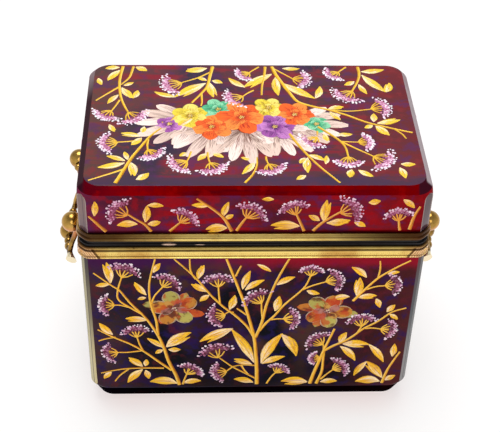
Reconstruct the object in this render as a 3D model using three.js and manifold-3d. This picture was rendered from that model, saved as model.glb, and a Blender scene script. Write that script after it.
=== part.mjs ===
// A ruby glass casket with gilt brass rims, a hinged lid and a drop handle on each side.
// Sizes are in millimetres. X runs to the casket's right, Y to its back and Z up.
// The origin is the middle of the base, on the surface that the casket stands on.

import * as THREE from 'three';
import { mergeVertices } from 'three/addons/utils/BufferGeometryUtils.js';
import Module from 'manifold-3d';

const wasm = await Module();
wasm.setup();

// Glass, body and lid
const glassWidth = 145;
const glassDepth = 93.8;
const glassWall = 5;
const cementGap = 0.3; // bed of plaster between glass and brass

const bodyGlassShown = 88.4; // from the table to the lower edge of the brass
const bodyFloor = 9;
const bodyCorner = 3; // leg of the flat cut up each corner
const floorFillet = 3;
const baseBevelIn = 3;
const baseBevelUp = 8;
const baseRound = 7; // corner radius where the casket stands

const lidGlassShown = 22.9; // from the upper edge of the brass to the top
const lidCorner = 4;
const lidCrown = 6.2; // thickness of the lid's top
const topBevelIn = 2.6;
const topBevelDown = 3.5;
const topRound = 7.2;
const facetRound = 8; // corner radius where a flat corner cut has died away
const facetFade = 6; // height over which a flat corner cut dies away

// Brass bands, seen from outside, and the liners between them
const bodyBandHeight = 6.2;
const lidBandHeight = 4.1;
const bandReach = 1.5; // how far the proudest bead stands out from the glass
const fieldReach = 1.25; // the flat field between the beads
const grooveReach = 0.85;
const lowBead = 1.3; // heights of the body band's beads, and of the grooves beside them
const lowGroove = 0.35;
const highBead = 1;
const highGroove = 0.7;
const lidBead = 2.4;
const lidGroove = 0.6;
const flangeThickness = 1; // the part of a band that covers the glass's edge
const solderGap = 0.15;

const neckHeight = 1.4; // dark recess below and above the seam
const neckReach = 0.2;
const seamGap = 0.3;
const linerThickness = 0.8;
const linerDepth = 8;
const tongueRise = 2; // the tongue that the closed lid fits over
const tongueGap = 0.35;
const tongueThickness = 0.85;
const leastCorner = 1; // corner cut of the inner edges

// Hinge at the back
const hingeLength = 60;
const knuckleCount = 5;
const knuckleRadius = 1.9;
const knuckleGap = 0.3;
const leafThickness = 0.8;
const leafMargin = 0.6; // from a leaf's free edge to the edge of its band
const pinRadius = 0.8;
const pinHeadRadius = 1.5;
const pinHeadLength = 1.2;
const pinGap = 0.3;

// Handles
const postSpacing = 44.8; // between the two balls on one side
const ballRadius = 4.5;
const ballOut = 5.4; // from the side of the glass to the ball's centre
const ballDrop = 1.1; // from the lower edge of the band down to the ball's centre
const gudgeonRadius = 0.85;
const gudgeonGap = 0.35;
const gudgeonReach = 5.1; // how far a gudgeon goes into its ball
const boreDepth = 5.5;
const armRadius = 1.15;
const armGap = 0.3; // between an arm and the ball beside it
const shoulderRadius = 1.75;
const neckIn = 0.7; // how far the arm's swan neck leans towards the casket
const gripOut = 2.1; // the grip's ends, out from the line of the balls
const gripDrop = 21.7;
const gripHalf = 20.6;
const gripBowOut = 2.5; // how far the middle of the grip bows out and down
const gripBowDown = 2.8;
const gripNeck = 1.25;
const knobRadius = 4.3; // the ball in the middle of the grip
const knopRadius = 1.95;
const knopHalf = 1.5;
const knopPlaces = [7.2, 11.6];
const footRadius = 2.5;
const footLength = 3.6;

// Heights and half sizes that follow from these
const halfWidth = glassWidth / 2;
const halfDepth = glassDepth / 2;
const bodyBandBase = bodyGlassShown;
const bodyBandTop = bodyBandBase + bodyBandHeight;
const seamBottom = bodyBandTop + neckHeight;
const seamTop = seamBottom + seamGap;
const lidBandBase = seamTop + neckHeight;
const lidBandTop = lidBandBase + lidBandHeight;
const casketTop = lidBandTop + lidGlassShown;
const bodyGlassTop = bodyBandTop - flangeThickness - cementGap;
const lidGlassBase = lidBandBase + flangeThickness + cementGap;
const linerOut = -(glassWall + cementGap);
const linerIn = linerOut - linerThickness;
const tongueOut = linerIn - tongueGap;
const tongueIn = tongueOut - tongueThickness;
const fieldBase = lowBead + lowGroove;
const fieldTop = bodyBandHeight - highBead - highGroove;

const hingeY = halfDepth + bandReach + knuckleGap + knuckleRadius;
const hingeZ = (seamBottom + seamTop) / 2;
const ballX = halfWidth + ballOut;
const ballZ = bodyBandBase - ballDrop;
const armY = postSpacing / 2 - ballRadius - armGap - armRadius;

// Materials
const rubyGlass = new THREE.MeshStandardMaterial({ color: 0x4a0618, roughness: 0.06 });
const giltBrass = new THREE.MeshStandardMaterial({ color: 0xd9b050, roughness: 0.25, metalness: 1 });
const darkBrass = new THREE.MeshStandardMaterial({ color: 0x3a3024, roughness: 0.45, metalness: 1 });

// A BufferGeometry over loops of points, each joined to the next.
// The loops run anticlockwise round the way that they are stacked on the outside.
function skin(loops, joinEnds) {
  const perLoop = loops[0].length;
  const positions = loops.flat().flatMap((point) => point.toArray());
  const indices = [];
  const bands = joinEnds ? loops.length : loops.length - 1;
  for (let i = 0; i < bands; i += 1) {
    const low = i * perLoop;
    const high = ((i + 1) % loops.length) * perLoop;
    for (let j = 0; j < perLoop; j += 1) {
      const next = (j + 1) % perLoop;
      indices.push(low + j, low + next, high + next);
      indices.push(low + j, high + next, high + j);
    }
  }
  if (!joinEnds) {
    const last = (loops.length - 1) * perLoop;
    for (let j = 1; j < perLoop - 1; j += 1) {
      indices.push(0, j + 1, j);
      indices.push(last, last + j, last + j + 1);
    }
  }
  const geometry = new THREE.BufferGeometry();
  geometry.setAttribute('position', new THREE.Float32BufferAttribute(positions, 3));
  geometry.setIndex(indices);
  return geometry;
}

// The casket's plan at one height, moved out by offset from the face of the glass.
// Each corner runs from a straight cut, roundness 0, to a quarter circle, roundness 1.
function plan(offset, z, corner, roundness = 0, cornerSteps = 1) {
  const halfX = halfWidth + offset;
  const halfY = halfDepth + offset;
  const quarter = [];
  for (let i = 0; i <= cornerSteps; i += 1) {
    const share = i / cornerSteps;
    const angle = (share * Math.PI) / 2;
    const cut = new THREE.Vector2(halfX - corner * share, halfY - corner * (1 - share));
    const arc = new THREE.Vector2(
      halfX - corner * (1 - Math.cos(angle)),
      halfY - corner * (1 - Math.sin(angle)),
    );
    quarter.push(cut.lerp(arc, roundness));
  }
  const backwards = [...quarter].reverse();
  return [
    ...quarter.map((p) => new THREE.Vector3(p.x, p.y, z)),
    ...backwards.map((p) => new THREE.Vector3(-p.x, p.y, z)),
    ...quarter.map((p) => new THREE.Vector3(-p.x, -p.y, z)),
    ...backwards.map((p) => new THREE.Vector3(p.x, -p.y, z)),
  ];
}

// The corner cut of a plan that is offset from one whose cut is given.
function offsetCorner(corner, offset) {
  return Math.max(leastCorner, corner + offset * (2 - Math.SQRT2));
}

// A frame of one section all round the casket. Its points are offset and height, anticlockwise.
function frameRing(section, corner) {
  return skin(section.map(([offset, z]) => plan(offset, z, offsetCorner(corner, offset))), true);
}

// The half-round points of a bead from one height to another on the outside of a band.
function bead(low, high, foot, reach, steps = 4) {
  const points = [];
  for (let i = 0; i <= steps; i += 1) {
    const share = i / steps;
    points.push([foot + (reach - foot) * Math.sin(share * Math.PI), low + (high - low) * share]);
  }
  return points;
}

function toSolid(geometry) {
  const bare = geometry.clone();
  bare.deleteAttribute('normal');
  bare.deleteAttribute('uv');
  const merged = mergeVertices(bare, 1e-4);
  return new wasm.Manifold(new wasm.Mesh({
    numProp: 3,
    vertProperties: merged.attributes.position.array,
    triVerts: new Uint32Array(merged.index.array),
  }));
}

function toGeometry(solid) {
  const mesh = solid.getMesh();
  const geometry = new THREE.BufferGeometry();
  geometry.setAttribute('position', new THREE.BufferAttribute(mesh.vertProperties, 3));
  geometry.setIndex(new THREE.BufferAttribute(mesh.triVerts, 1));
  return geometry;
}

function named(name, geometry, material) {
  const mesh = new THREE.Mesh(geometry, material);
  mesh.name = name;
  return mesh;
}

function block(x, y, z) {
  const size = [x[1] - x[0], y[1] - y[0], z[1] - z[0]];
  return new THREE.BoxGeometry(...size)
    .translate((x[0] + x[1]) / 2, (y[0] + y[1]) / 2, (z[0] + z[1]) / 2);
}

// A round bar along X between two places, about an axis at the given Y and Z.
function barAlongX(radius, from, to, y, z, sides = 24) {
  return new THREE.CylinderGeometry(radius, radius, to - from, sides)
    .rotateZ(Math.PI / 2)
    .translate((from + to) / 2, y, z);
}

// The plans up a corner, from its flat cut to the round that a bevel needs.
function facetEnd(corner, cutZ, roundZ, steps) {
  const stages = [[0, 0], [0.65, 0.3], [1, 1]]; // share of the height, and how round it is
  return stages.map(([rise, roundness]) => plan(
    0,
    cutZ + (roundZ - cutZ) * rise,
    corner + (facetRound - corner) * roundness,
    roundness,
    steps,
  ));
}

// The open-topped box: flat cuts up its corners and a steep bevel round its foot.
function bodyGlass() {
  const steps = 8;
  const inner = offsetCorner(bodyCorner, -glassWall);
  const loops = [
    plan(-baseBevelIn, 0, baseRound, 1, steps),
    ...facetEnd(bodyCorner, baseBevelUp + facetFade, baseBevelUp, steps).reverse(),
    plan(0, bodyGlassTop, bodyCorner, 0, steps),
    plan(-glassWall, bodyGlassTop, inner, 0, steps),
    plan(-glassWall, bodyFloor + floorFillet, inner, 0, steps),
    plan(-glassWall - floorFillet, bodyFloor, floorFillet, 1, steps),
  ];
  return named('body_glass', skin(loops, false), rubyGlass);
}

// The lid is a shallow cap of the same plan, with a bevel round its top.
function lidGlass() {
  const steps = 8;
  const ceiling = casketTop - lidCrown;
  const bevelBase = casketTop - topBevelDown;
  const inner = offsetCorner(lidCorner, -glassWall);
  const loops = [
    plan(-glassWall - floorFillet, ceiling, floorFillet, 1, steps),
    plan(-glassWall, ceiling - floorFillet, inner, 0, steps),
    plan(-glassWall, lidGlassBase, inner, 0, steps),
    plan(0, lidGlassBase, lidCorner, 0, steps),
    ...facetEnd(lidCorner, bevelBase - facetFade, bevelBase, steps),
    plan(-topBevelIn, casketTop, topRound, 1, steps),
  ];
  return named('lid_glass', skin(loops, false), rubyGlass);
}

// The body's band: a proud bead below, a flat field, a lesser bead above, and a flange over the glass.
function bodyBand() {
  const flangeBase = bodyBandTop - flangeThickness;
  const flangeIn = linerOut + cementGap;
  const outside = [
    ...bead(0, lowBead, grooveReach, bandReach),
    [grooveReach, fieldBase],
    [fieldReach, fieldBase],
    [fieldReach, fieldTop],
    [grooveReach, fieldTop],
    ...bead(bodyBandHeight - highBead, bodyBandHeight, grooveReach, fieldReach),
  ];
  const section = [
    [cementGap, bodyBandBase],
    ...outside.map(([offset, z]) => [offset, bodyBandBase + z]),
    [flangeIn, bodyBandTop],
    [flangeIn, flangeBase],
    [cementGap, flangeBase],
  ];
  return named('body_band', frameRing(section, bodyCorner), giltBrass);
}

// The lid's band: one broad bead below, a groove, and a flat fillet against the glass.
function lidBand() {
  const flangeTop = lidBandBase + flangeThickness;
  const flangeIn = linerOut + cementGap;
  const outside = [
    ...bead(0, lidBead, grooveReach, bandReach, 6),
    [grooveReach, lidBead + lidGroove],
    [fieldReach, lidBead + lidGroove],
    [fieldReach - solderGap, lidBandHeight],
  ];
  const section = [
    [flangeIn, lidBandBase],
    ...outside.map(([offset, z]) => [offset, lidBandBase + z]),
    [cementGap, lidBandTop],
    [cementGap, flangeTop],
    [flangeIn, flangeTop],
  ];
  return named('lid_band', frameRing(section, lidCorner), giltBrass);
}

// Inside the body's mouth: a sleeve, the recessed neck under the seam, and the tongue above it.
function bodyLiner() {
  const step = seamBottom - flangeThickness;
  const section = [
    [linerIn, bodyGlassTop - linerDepth],
    [linerOut, bodyGlassTop - linerDepth],
    [linerOut, bodyBandTop + solderGap],
    [neckReach, bodyBandTop + solderGap],
    [neckReach, seamBottom],
    [tongueOut, seamBottom],
    [tongueOut, seamBottom + tongueRise],
    [tongueIn, seamBottom + tongueRise],
    [tongueIn, step],
    [linerIn, step],
  ];
  return named('body_liner', frameRing(section, bodyCorner), darkBrass);
}

// Inside the lid's mouth: the recessed neck over the seam and a sleeve that passes the tongue.
function lidLiner() {
  const section = [
    [linerIn, seamTop],
    [neckReach, seamTop],
    [neckReach, lidBandBase - solderGap],
    [linerOut, lidBandBase - solderGap],
    [linerOut, lidGlassBase + linerDepth],
    [linerIn, lidGlassBase + linerDepth],
  ];
  return named('lid_liner', frameRing(section, lidCorner), darkBrass);
}

// One leaf of the hinge: a plate on the back of a band, with every second knuckle.
function hingeLeaf(name, firstKnuckle, plateLow, plateHigh) {
  const plateY = halfDepth + bandReach + solderGap;
  const half = hingeLength / 2;
  const pitch = hingeLength / knuckleCount;
  const webY = [plateY, plateY + leafThickness + solderGap];
  const webZ = [Math.min(plateHigh, hingeZ), Math.max(plateLow, hingeZ)];
  let leaf = toSolid(block([-half, half], [plateY, plateY + leafThickness], [plateLow, plateHigh]));
  for (let i = firstKnuckle; i < knuckleCount; i += 2) {
    const from = -half + i * pitch + (i === 0 ? 0 : knuckleGap / 2);
    const to = -half + (i + 1) * pitch - (i === knuckleCount - 1 ? 0 : knuckleGap / 2);
    leaf = leaf
      .add(toSolid(barAlongX(knuckleRadius, from, to, hingeY, hingeZ)))
      .add(toSolid(block([from, to], webY, webZ)));
  }
  const bore = barAlongX(pinRadius + pinGap, -hingeLength, hingeLength, hingeY, hingeZ);
  return named(name, toGeometry(leaf.subtract(toSolid(bore))), giltBrass);
}

// The pin lies along X with a domed head outside each end knuckle.
function hingePin() {
  const half = hingeLength / 2;
  const headFoot = half + pinGap;
  const profile = [
    [0, -headFoot - pinHeadLength],
    [pinHeadRadius * 0.7, -headFoot - pinHeadLength * 0.8],
    [pinHeadRadius, -headFoot - pinHeadLength * 0.3],
    [pinHeadRadius, -headFoot],
    [pinRadius, -headFoot],
    [pinRadius, headFoot],
    [pinHeadRadius, headFoot],
    [pinHeadRadius, headFoot + pinHeadLength * 0.3],
    [pinHeadRadius * 0.7, headFoot + pinHeadLength * 0.8],
    [0, headFoot + pinHeadLength],
  ];
  const points = profile.map(([radius, along]) => new THREE.Vector2(radius, along));
  const pin = named('hinge_pin', new THREE.LatheGeometry(points, 20), giltBrass);
  pin.rotation.z = -Math.PI / 2;
  pin.position.set(0, hingeY, hingeZ);
  return pin;
}

// A ball with a flat against the band, drilled from the side that faces the handle's middle.
// It is made about the ball's centre, with +X pointing away from the casket.
// End is -1 for the post at the -Y end of its handle and 1 for the other.
function handlePost(name, end) {
  const ringSteps = 12;
  const flatIn = ballOut - bandReach - solderGap;
  const start = Math.acos(flatIn / ballRadius);
  const points = [new THREE.Vector2(0, -flatIn)];
  for (let i = 0; i < ringSteps; i += 1) {
    const angle = start + ((Math.PI - start) * i) / ringSteps;
    points.push(new THREE.Vector2(ballRadius * Math.sin(angle), -ballRadius * Math.cos(angle)));
  }
  points.push(new THREE.Vector2(0, ballRadius));
  const ball = new THREE.LatheGeometry(points, 24).rotateZ(-Math.PI / 2);
  const boreEnd = -ballRadius + boreDepth;
  const boreStart = -ballRadius - 1;
  const bore = new THREE.CylinderGeometry(
    gudgeonRadius + gudgeonGap, gudgeonRadius + gudgeonGap, boreEnd - boreStart, 16,
  ).translate(0, end * ((boreStart + boreEnd) / 2), 0);
  return named(name, toGeometry(toSolid(ball).subtract(toSolid(bore))), giltBrass);
}

// A tube of changing radius along a curve that lies in the plane square to across.
function sweep(curve, radii, across, sides) {
  const loops = radii.map(([share, radius]) => {
    const centre = curve.getPoint(share);
    const other = new THREE.Vector3().crossVectors(curve.getTangent(share), across).normalize();
    return Array.from({ length: sides }, (unused, i) => {
      const angle = (2 * Math.PI * i) / sides;
      return centre.clone()
        .addScaledVector(across, radius * Math.cos(angle))
        .addScaledVector(other, radius * Math.sin(angle));
    });
  });
  return skin(loops, false);
}

// The grip's radius at a distance from its middle: a ball, two knops, then a flared foot.
function gripProfile() {
  const half = [];
  const knobEnd = Math.sqrt(knobRadius ** 2 - gripNeck ** 2);
  const knobSteps = 6;
  for (let i = 0; i <= knobSteps; i += 1) {
    const along = knobEnd * Math.sin(((i / knobSteps) * Math.PI) / 2);
    half.push([along, Math.sqrt(knobRadius ** 2 - along ** 2)]);
  }
  knopPlaces.forEach((place) => {
    const knopSteps = 4;
    for (let i = 0; i <= knopSteps; i += 1) {
      const turn = (i / knopSteps) * Math.PI;
      half.push([
        place - knopHalf * Math.cos(turn),
        gripNeck + (knopRadius - gripNeck) * Math.sin(turn),
      ]);
    }
  });
  const footSteps = 4;
  for (let i = 0; i <= footSteps; i += 1) {
    const share = i / footSteps;
    half.push([gripHalf - footLength * (1 - share), gripNeck + (footRadius - gripNeck) * share ** 2]);
  }
  return half;
}

// One casting: a turned grip that bows out and down, and a swan-neck arm up to each ball.
// It is made about the line through the balls, with +X pointing away from the casket.
function bail(name) {
  const sides = 14;
  const bow = (y) => {
    const share = 1 - (y / gripHalf) ** 2;
    return new THREE.Vector3(gripOut + gripBowOut * share, y, -gripDrop - gripBowDown * share);
  };
  const gripLine = new THREE.QuadraticBezierCurve3(
    bow(-gripHalf),
    bow(0).multiplyScalar(2).sub(bow(gripHalf).setY(0)),
    bow(gripHalf),
  );
  const half = gripProfile();
  const radii = [
    ...[...half].reverse().map(([along, radius]) => [-along, radius]),
    ...half.slice(1),
  ].map(([along, radius]) => [(along / gripHalf + 1) / 2, radius]);
  const gripAcross = new THREE.Vector3(gripBowDown, 0, gripBowOut).normalize();
  let whole = toSolid(sweep(gripLine, radii, gripAcross, sides));

  [-1, 1].forEach((side) => {
    const y = side * armY;
    const foot = bow(y);
    const armLine = new THREE.CatmullRomCurve3([
      new THREE.Vector3(0, y, 0),
      new THREE.Vector3(-neckIn, y, -gripDrop * 0.27),
      new THREE.Vector3(-neckIn * 0.4, y, -gripDrop * 0.55),
      new THREE.Vector3(foot.x * 0.55, y, -gripDrop * 0.8),
      foot,
    ]);
    const armSteps = 12;
    const armRadii = Array.from({ length: armSteps + 1 }, (unused, i) => [i / armSteps, armRadius]);
    const arm = sweep(armLine, armRadii, new THREE.Vector3(0, 1, 0), 10);
    const shoulder = new THREE.SphereGeometry(shoulderRadius, 12, 8)
      .translate(0, y - side * (shoulderRadius - armRadius), 0);
    const tip = postSpacing / 2 - ballRadius + gudgeonReach;
    const gudgeon = new THREE.CylinderGeometry(gudgeonRadius, gudgeonRadius, tip - armY, 12)
      .translate(0, (side * (tip + armY)) / 2, 0);
    whole = whole.add(toSolid(arm)).add(toSolid(shoulder)).add(toSolid(gudgeon));
  });
  return named(name, toGeometry(whole), giltBrass);
}

// Both posts and the bail of one side, turned half round for the left side.
function sideHandle(sideName, side) {
  const handle = new THREE.Group();
  handle.position.set(side * ballX, 0, ballZ);
  handle.rotation.z = side > 0 ? 0 : Math.PI;
  [-1, 1].forEach((end) => {
    const place = end * side < 0 ? 'front' : 'rear';
    const post = handlePost(`post_${sideName}_${place}`, end);
    post.position.y = (end * postSpacing) / 2;
    handle.add(post);
  });
  handle.add(bail(`bail_${sideName}`));
  return handle;
}

const casket = new THREE.Group();

const body = new THREE.Group();
body.add(bodyGlass(), bodyBand(), bodyLiner());
body.add(hingeLeaf('hinge_leaf_body', 0, bodyBandBase + leafMargin, hingeZ - knuckleRadius + solderGap));
body.add(hingePin());

const lid = new THREE.Group();
lid.add(lidGlass(), lidBand(), lidLiner());
lid.add(hingeLeaf('hinge_leaf_lid', 1, hingeZ + knuckleRadius - solderGap, lidBandTop - leafMargin));

casket.add(body, lid, sideHandle('right', 1), sideHandle('left', -1));

export default casket;
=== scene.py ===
import math
import random

import bmesh
import bpy
from mathutils import Matrix, Vector


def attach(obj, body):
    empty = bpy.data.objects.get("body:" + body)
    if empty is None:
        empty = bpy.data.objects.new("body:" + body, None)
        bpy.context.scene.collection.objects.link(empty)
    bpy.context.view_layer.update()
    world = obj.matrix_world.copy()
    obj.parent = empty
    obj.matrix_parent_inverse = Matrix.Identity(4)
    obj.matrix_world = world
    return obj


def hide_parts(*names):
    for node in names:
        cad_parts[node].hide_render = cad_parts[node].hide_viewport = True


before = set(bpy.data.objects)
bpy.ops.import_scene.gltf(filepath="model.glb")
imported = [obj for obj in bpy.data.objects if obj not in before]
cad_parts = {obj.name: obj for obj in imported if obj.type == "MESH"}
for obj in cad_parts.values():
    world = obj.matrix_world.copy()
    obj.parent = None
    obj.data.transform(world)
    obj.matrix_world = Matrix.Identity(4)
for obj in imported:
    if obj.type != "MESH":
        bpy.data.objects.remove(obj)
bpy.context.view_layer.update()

mm = 0.001  # every size below is in millimetres, and the meshes are in metres
quarterTurn = math.pi / 2
scene = bpy.context.scene


def linkPiece(name, data):
    piece = bpy.data.objects.new(name, data)
    scene.collection.objects.link(piece)
    return piece


def makePiece(name, points, faces, materials, faceSlots=None, values=None, creaseAngle=32):
    mesh = bpy.data.meshes.new(name)
    mesh.from_pydata([tuple(c * mm for c in point) for point in points], [], faces)
    for label, numbers in (values or {}).items():
        mesh.attributes.new(label, "FLOAT", "POINT").data.foreach_set("value", numbers)
    for material in materials:
        mesh.materials.append(material)
    if faceSlots:
        mesh.polygons.foreach_set("material_index", faceSlots)
    mesh.polygons.foreach_set("use_smooth", [True] * len(mesh.polygons))
    mesh.set_sharp_from_angle(angle=math.radians(creaseAngle))
    mesh.update()
    return linkPiece(name, mesh)


def brassPiece(name, points, faces, material, grimeAndShade):
    # grime and painted shade is one amount for the whole piece, or a list with one for each point
    amounts = grimeAndShade if isinstance(grimeAndShade, list) else [grimeAndShade] * len(points)
    return makePiece(name, points, faces, [material], values={"grimeAndShade": amounts})


def joinPieces(name, pieces):
    # one mesh of several, with each material kept once
    target = pieces[0]
    with bpy.context.temp_override(active_object=target, selected_editable_objects=pieces):
        bpy.ops.object.join()
    target.name = target.data.name = name
    return target


def outward(piece):
    # closes doubles and turns every face outwards
    work = bmesh.new()
    work.from_mesh(piece.data)
    bmesh.ops.remove_doubles(work, verts=work.verts, dist=1e-6)
    bmesh.ops.recalc_face_normals(work, faces=work.faces)
    work.to_mesh(piece.data)
    work.free()


def loftFaces(loopCount, perLoop, joinEnds=False):
    # the faces between loops of points, with both ends closed or joined to each other
    faces = []
    for i in range(loopCount if joinEnds else loopCount - 1):
        low, high = i * perLoop, ((i + 1) % loopCount) * perLoop
        for j in range(perLoop):
            following = (j + 1) % perLoop
            faces.append((low + j, low + following, high + following, high + j))
    if not joinEnds:
        last = (loopCount - 1) * perLoop
        faces.append(tuple(range(perLoop - 1, -1, -1)))
        faces.append(tuple(range(last, last + perLoop)))
    return faces


def flattened(loops):
    return [point for loop in loops for point in loop]


def softened(path, radius, steps=3):
    # a path with each inner corner rounded
    result = [path[0]]
    for before, corner, after in zip(path, path[1:], path[2:]):
        here = Vector(corner)
        inward, outward = Vector(before) - here, Vector(after) - here
        reach = min(radius, inward.length * 0.45, outward.length * 0.45)
        start, end = here + inward.normalized() * reach, here + outward.normalized() * reach
        for i in range(steps + 1):
            t = i / steps
            result.append(tuple(start * (1 - t) ** 2 + here * 2 * t * (1 - t) + end * t * t))
    result.append(path[-1])
    return result


class Wire:
    # one socket of a node, which can be used in sums
    def __init__(self, board, socket):
        self.board, self.socket = board, socket

    def maths(self, operation, *others):
        values = {i: value for i, value in enumerate((self, *others))}
        return self.board.add("ShaderNodeMath", {"operation": operation}, values)["Value"]

    def flipped(self, operation, other):
        return self.board.add("ShaderNodeMath", {"operation": operation}, {0: other, 1: self})["Value"]

    def __add__(self, other): return self.maths("ADD", other)
    __radd__ = __add__
    def __sub__(self, other): return self.maths("SUBTRACT", other)
    def __rsub__(self, other): return self.flipped("SUBTRACT", other)
    def __mul__(self, other): return self.maths("MULTIPLY", other)
    __rmul__ = __mul__
    def __truediv__(self, other): return self.maths("DIVIDE", other)
    def __rtruediv__(self, other): return self.flipped("DIVIDE", other)
    def __pow__(self, other): return self.maths("POWER", other)
    def __abs__(self): return self.maths("ABSOLUTE")

    def ramp(self, low, high):  # 0 below low, 1 above high, smooth between
        values = {"Value": self, "From Min": low, "From Max": high}
        return self.board.add("ShaderNodeMapRange", {"interpolation_type": "SMOOTHSTEP"}, values)["Result"]

    def band(self, low, peakLow, peakHigh, high):  # 1 between the peaks, 0 outside low and high
        return self.ramp(low, peakLow) - self.ramp(peakHigh, high)


class Made:
    # a new node, whose outputs are got by name or number
    def __init__(self, board, node):
        self.board, self.node = board, node

    def __getitem__(self, key):
        return Wire(self.board, self.node.outputs[key])


def colour(screen):
    # a colour as it is read off a screen, in the light that Blender works in
    def lit(c):
        c /= 255
        return c / 12.92 if c <= 0.04045 else ((c + 0.055) / 1.055) ** 2.4
    return (*(lit(c) for c in screen), 1)


class Board:
    # the node tree of a material, the world or a geometry rule
    def __init__(self, tree):
        self.tree = tree

    def add(self, kind, settings=None, values=None):
        node = self.tree.nodes.new(kind)
        for key, value in (settings or {}).items():
            setattr(node, key, value)
        for key, value in (values or {}).items():
            if isinstance(value, Wire):
                self.tree.links.new(value.socket, node.inputs[key])
            else:
                node.inputs[key].default_value = value
        return Made(self, node)

    def blend(self, factor, first, second, way="MIX"):
        # three plain numbers are a screen colour
        tones = [colour(tone) if isinstance(tone, tuple) and len(tone) == 3 else tone for tone in (first, second)]
        settings = {"data_type": "RGBA", "blend_type": way}
        return self.add("ShaderNodeMix", settings, {0: factor, 6: tones[0], 7: tones[1]})[2]

    def coats(self, base, *coats):
        # each coat is a mask, and the colour that it brings
        for mask, tone in coats:
            base = self.blend(mask, base, tone)
        return base

    def pick(self, factor, first, second):
        return self.add("ShaderNodeMix", {"data_type": "FLOAT"}, {0: factor, 2: first, 3: second})[0]

    def noise(self, place, scale, detail=3, roughness=0.5, stretch=(1, 1, 1)):
        spread = self.add("ShaderNodeMapping", {}, {"Vector": place, "Scale": stretch})["Vector"]
        values = {"Vector": spread, "Scale": scale, "Detail": detail, "Roughness": roughness}
        return self.add("ShaderNodeTexNoise", {}, values)["Fac"]

    def bump(self, height, strength, distance):
        values = {"Strength": strength, "Distance": distance, "Height": height}
        return self.add("ShaderNodeBump", {}, values)["Normal"]

    def join(self, x, y, z=0.0):
        return self.add("ShaderNodeCombineXYZ", {}, {"X": x, "Y": y, "Z": z})["Vector"]

    def value(self, label, output="Fac"):  # a point attribute, inside a material
        return self.add("ShaderNodeAttribute", {"attribute_name": label})[output]

    def named(self, label, kind):  # a point attribute, inside a geometry rule
        return self.add("GeometryNodeInputNamedAttribute", {"data_type": kind}, {"Name": label})["Attribute"]

    def step(self, kind, settings=None, output="Geometry", **values):  # a node whose sockets are single words
        return self.add(kind, settings, values)[output]


def newMaterial(name):
    # a cleared material, its board, the place on the piece, and that place in millimetres
    material = bpy.data.materials.new(name)
    material.use_nodes = True
    material.node_tree.nodes.clear()
    board = Board(material.node_tree)
    place = board.add("ShaderNodeTexCoord")["Object"]
    axes = board.add("ShaderNodeSeparateXYZ", {}, {"Vector": place})
    return material, board, place, [axes[label] / mm for label in "XYZ"]


def finishMaterial(material, board, values):
    surface = board.add("ShaderNodeBsdfPrincipled", {}, values)["BSDF"]
    board.add("ShaderNodeOutputMaterial", {}, {"Surface": surface})
    return material


glass = {
    "halfWidth": 72.5, "halfDepth": 46.9, "wall": 5, "edgeRound": 0.3, "cornerSteps": 4,
    "fadePower": 2.8, "facetRound": 8, "facetFade": 6, "creaseRound": 0.45, "innerRound": 3,
    "lip": 1.5, "fadeSteps": 14, "filletSteps": 5,
}
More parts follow.
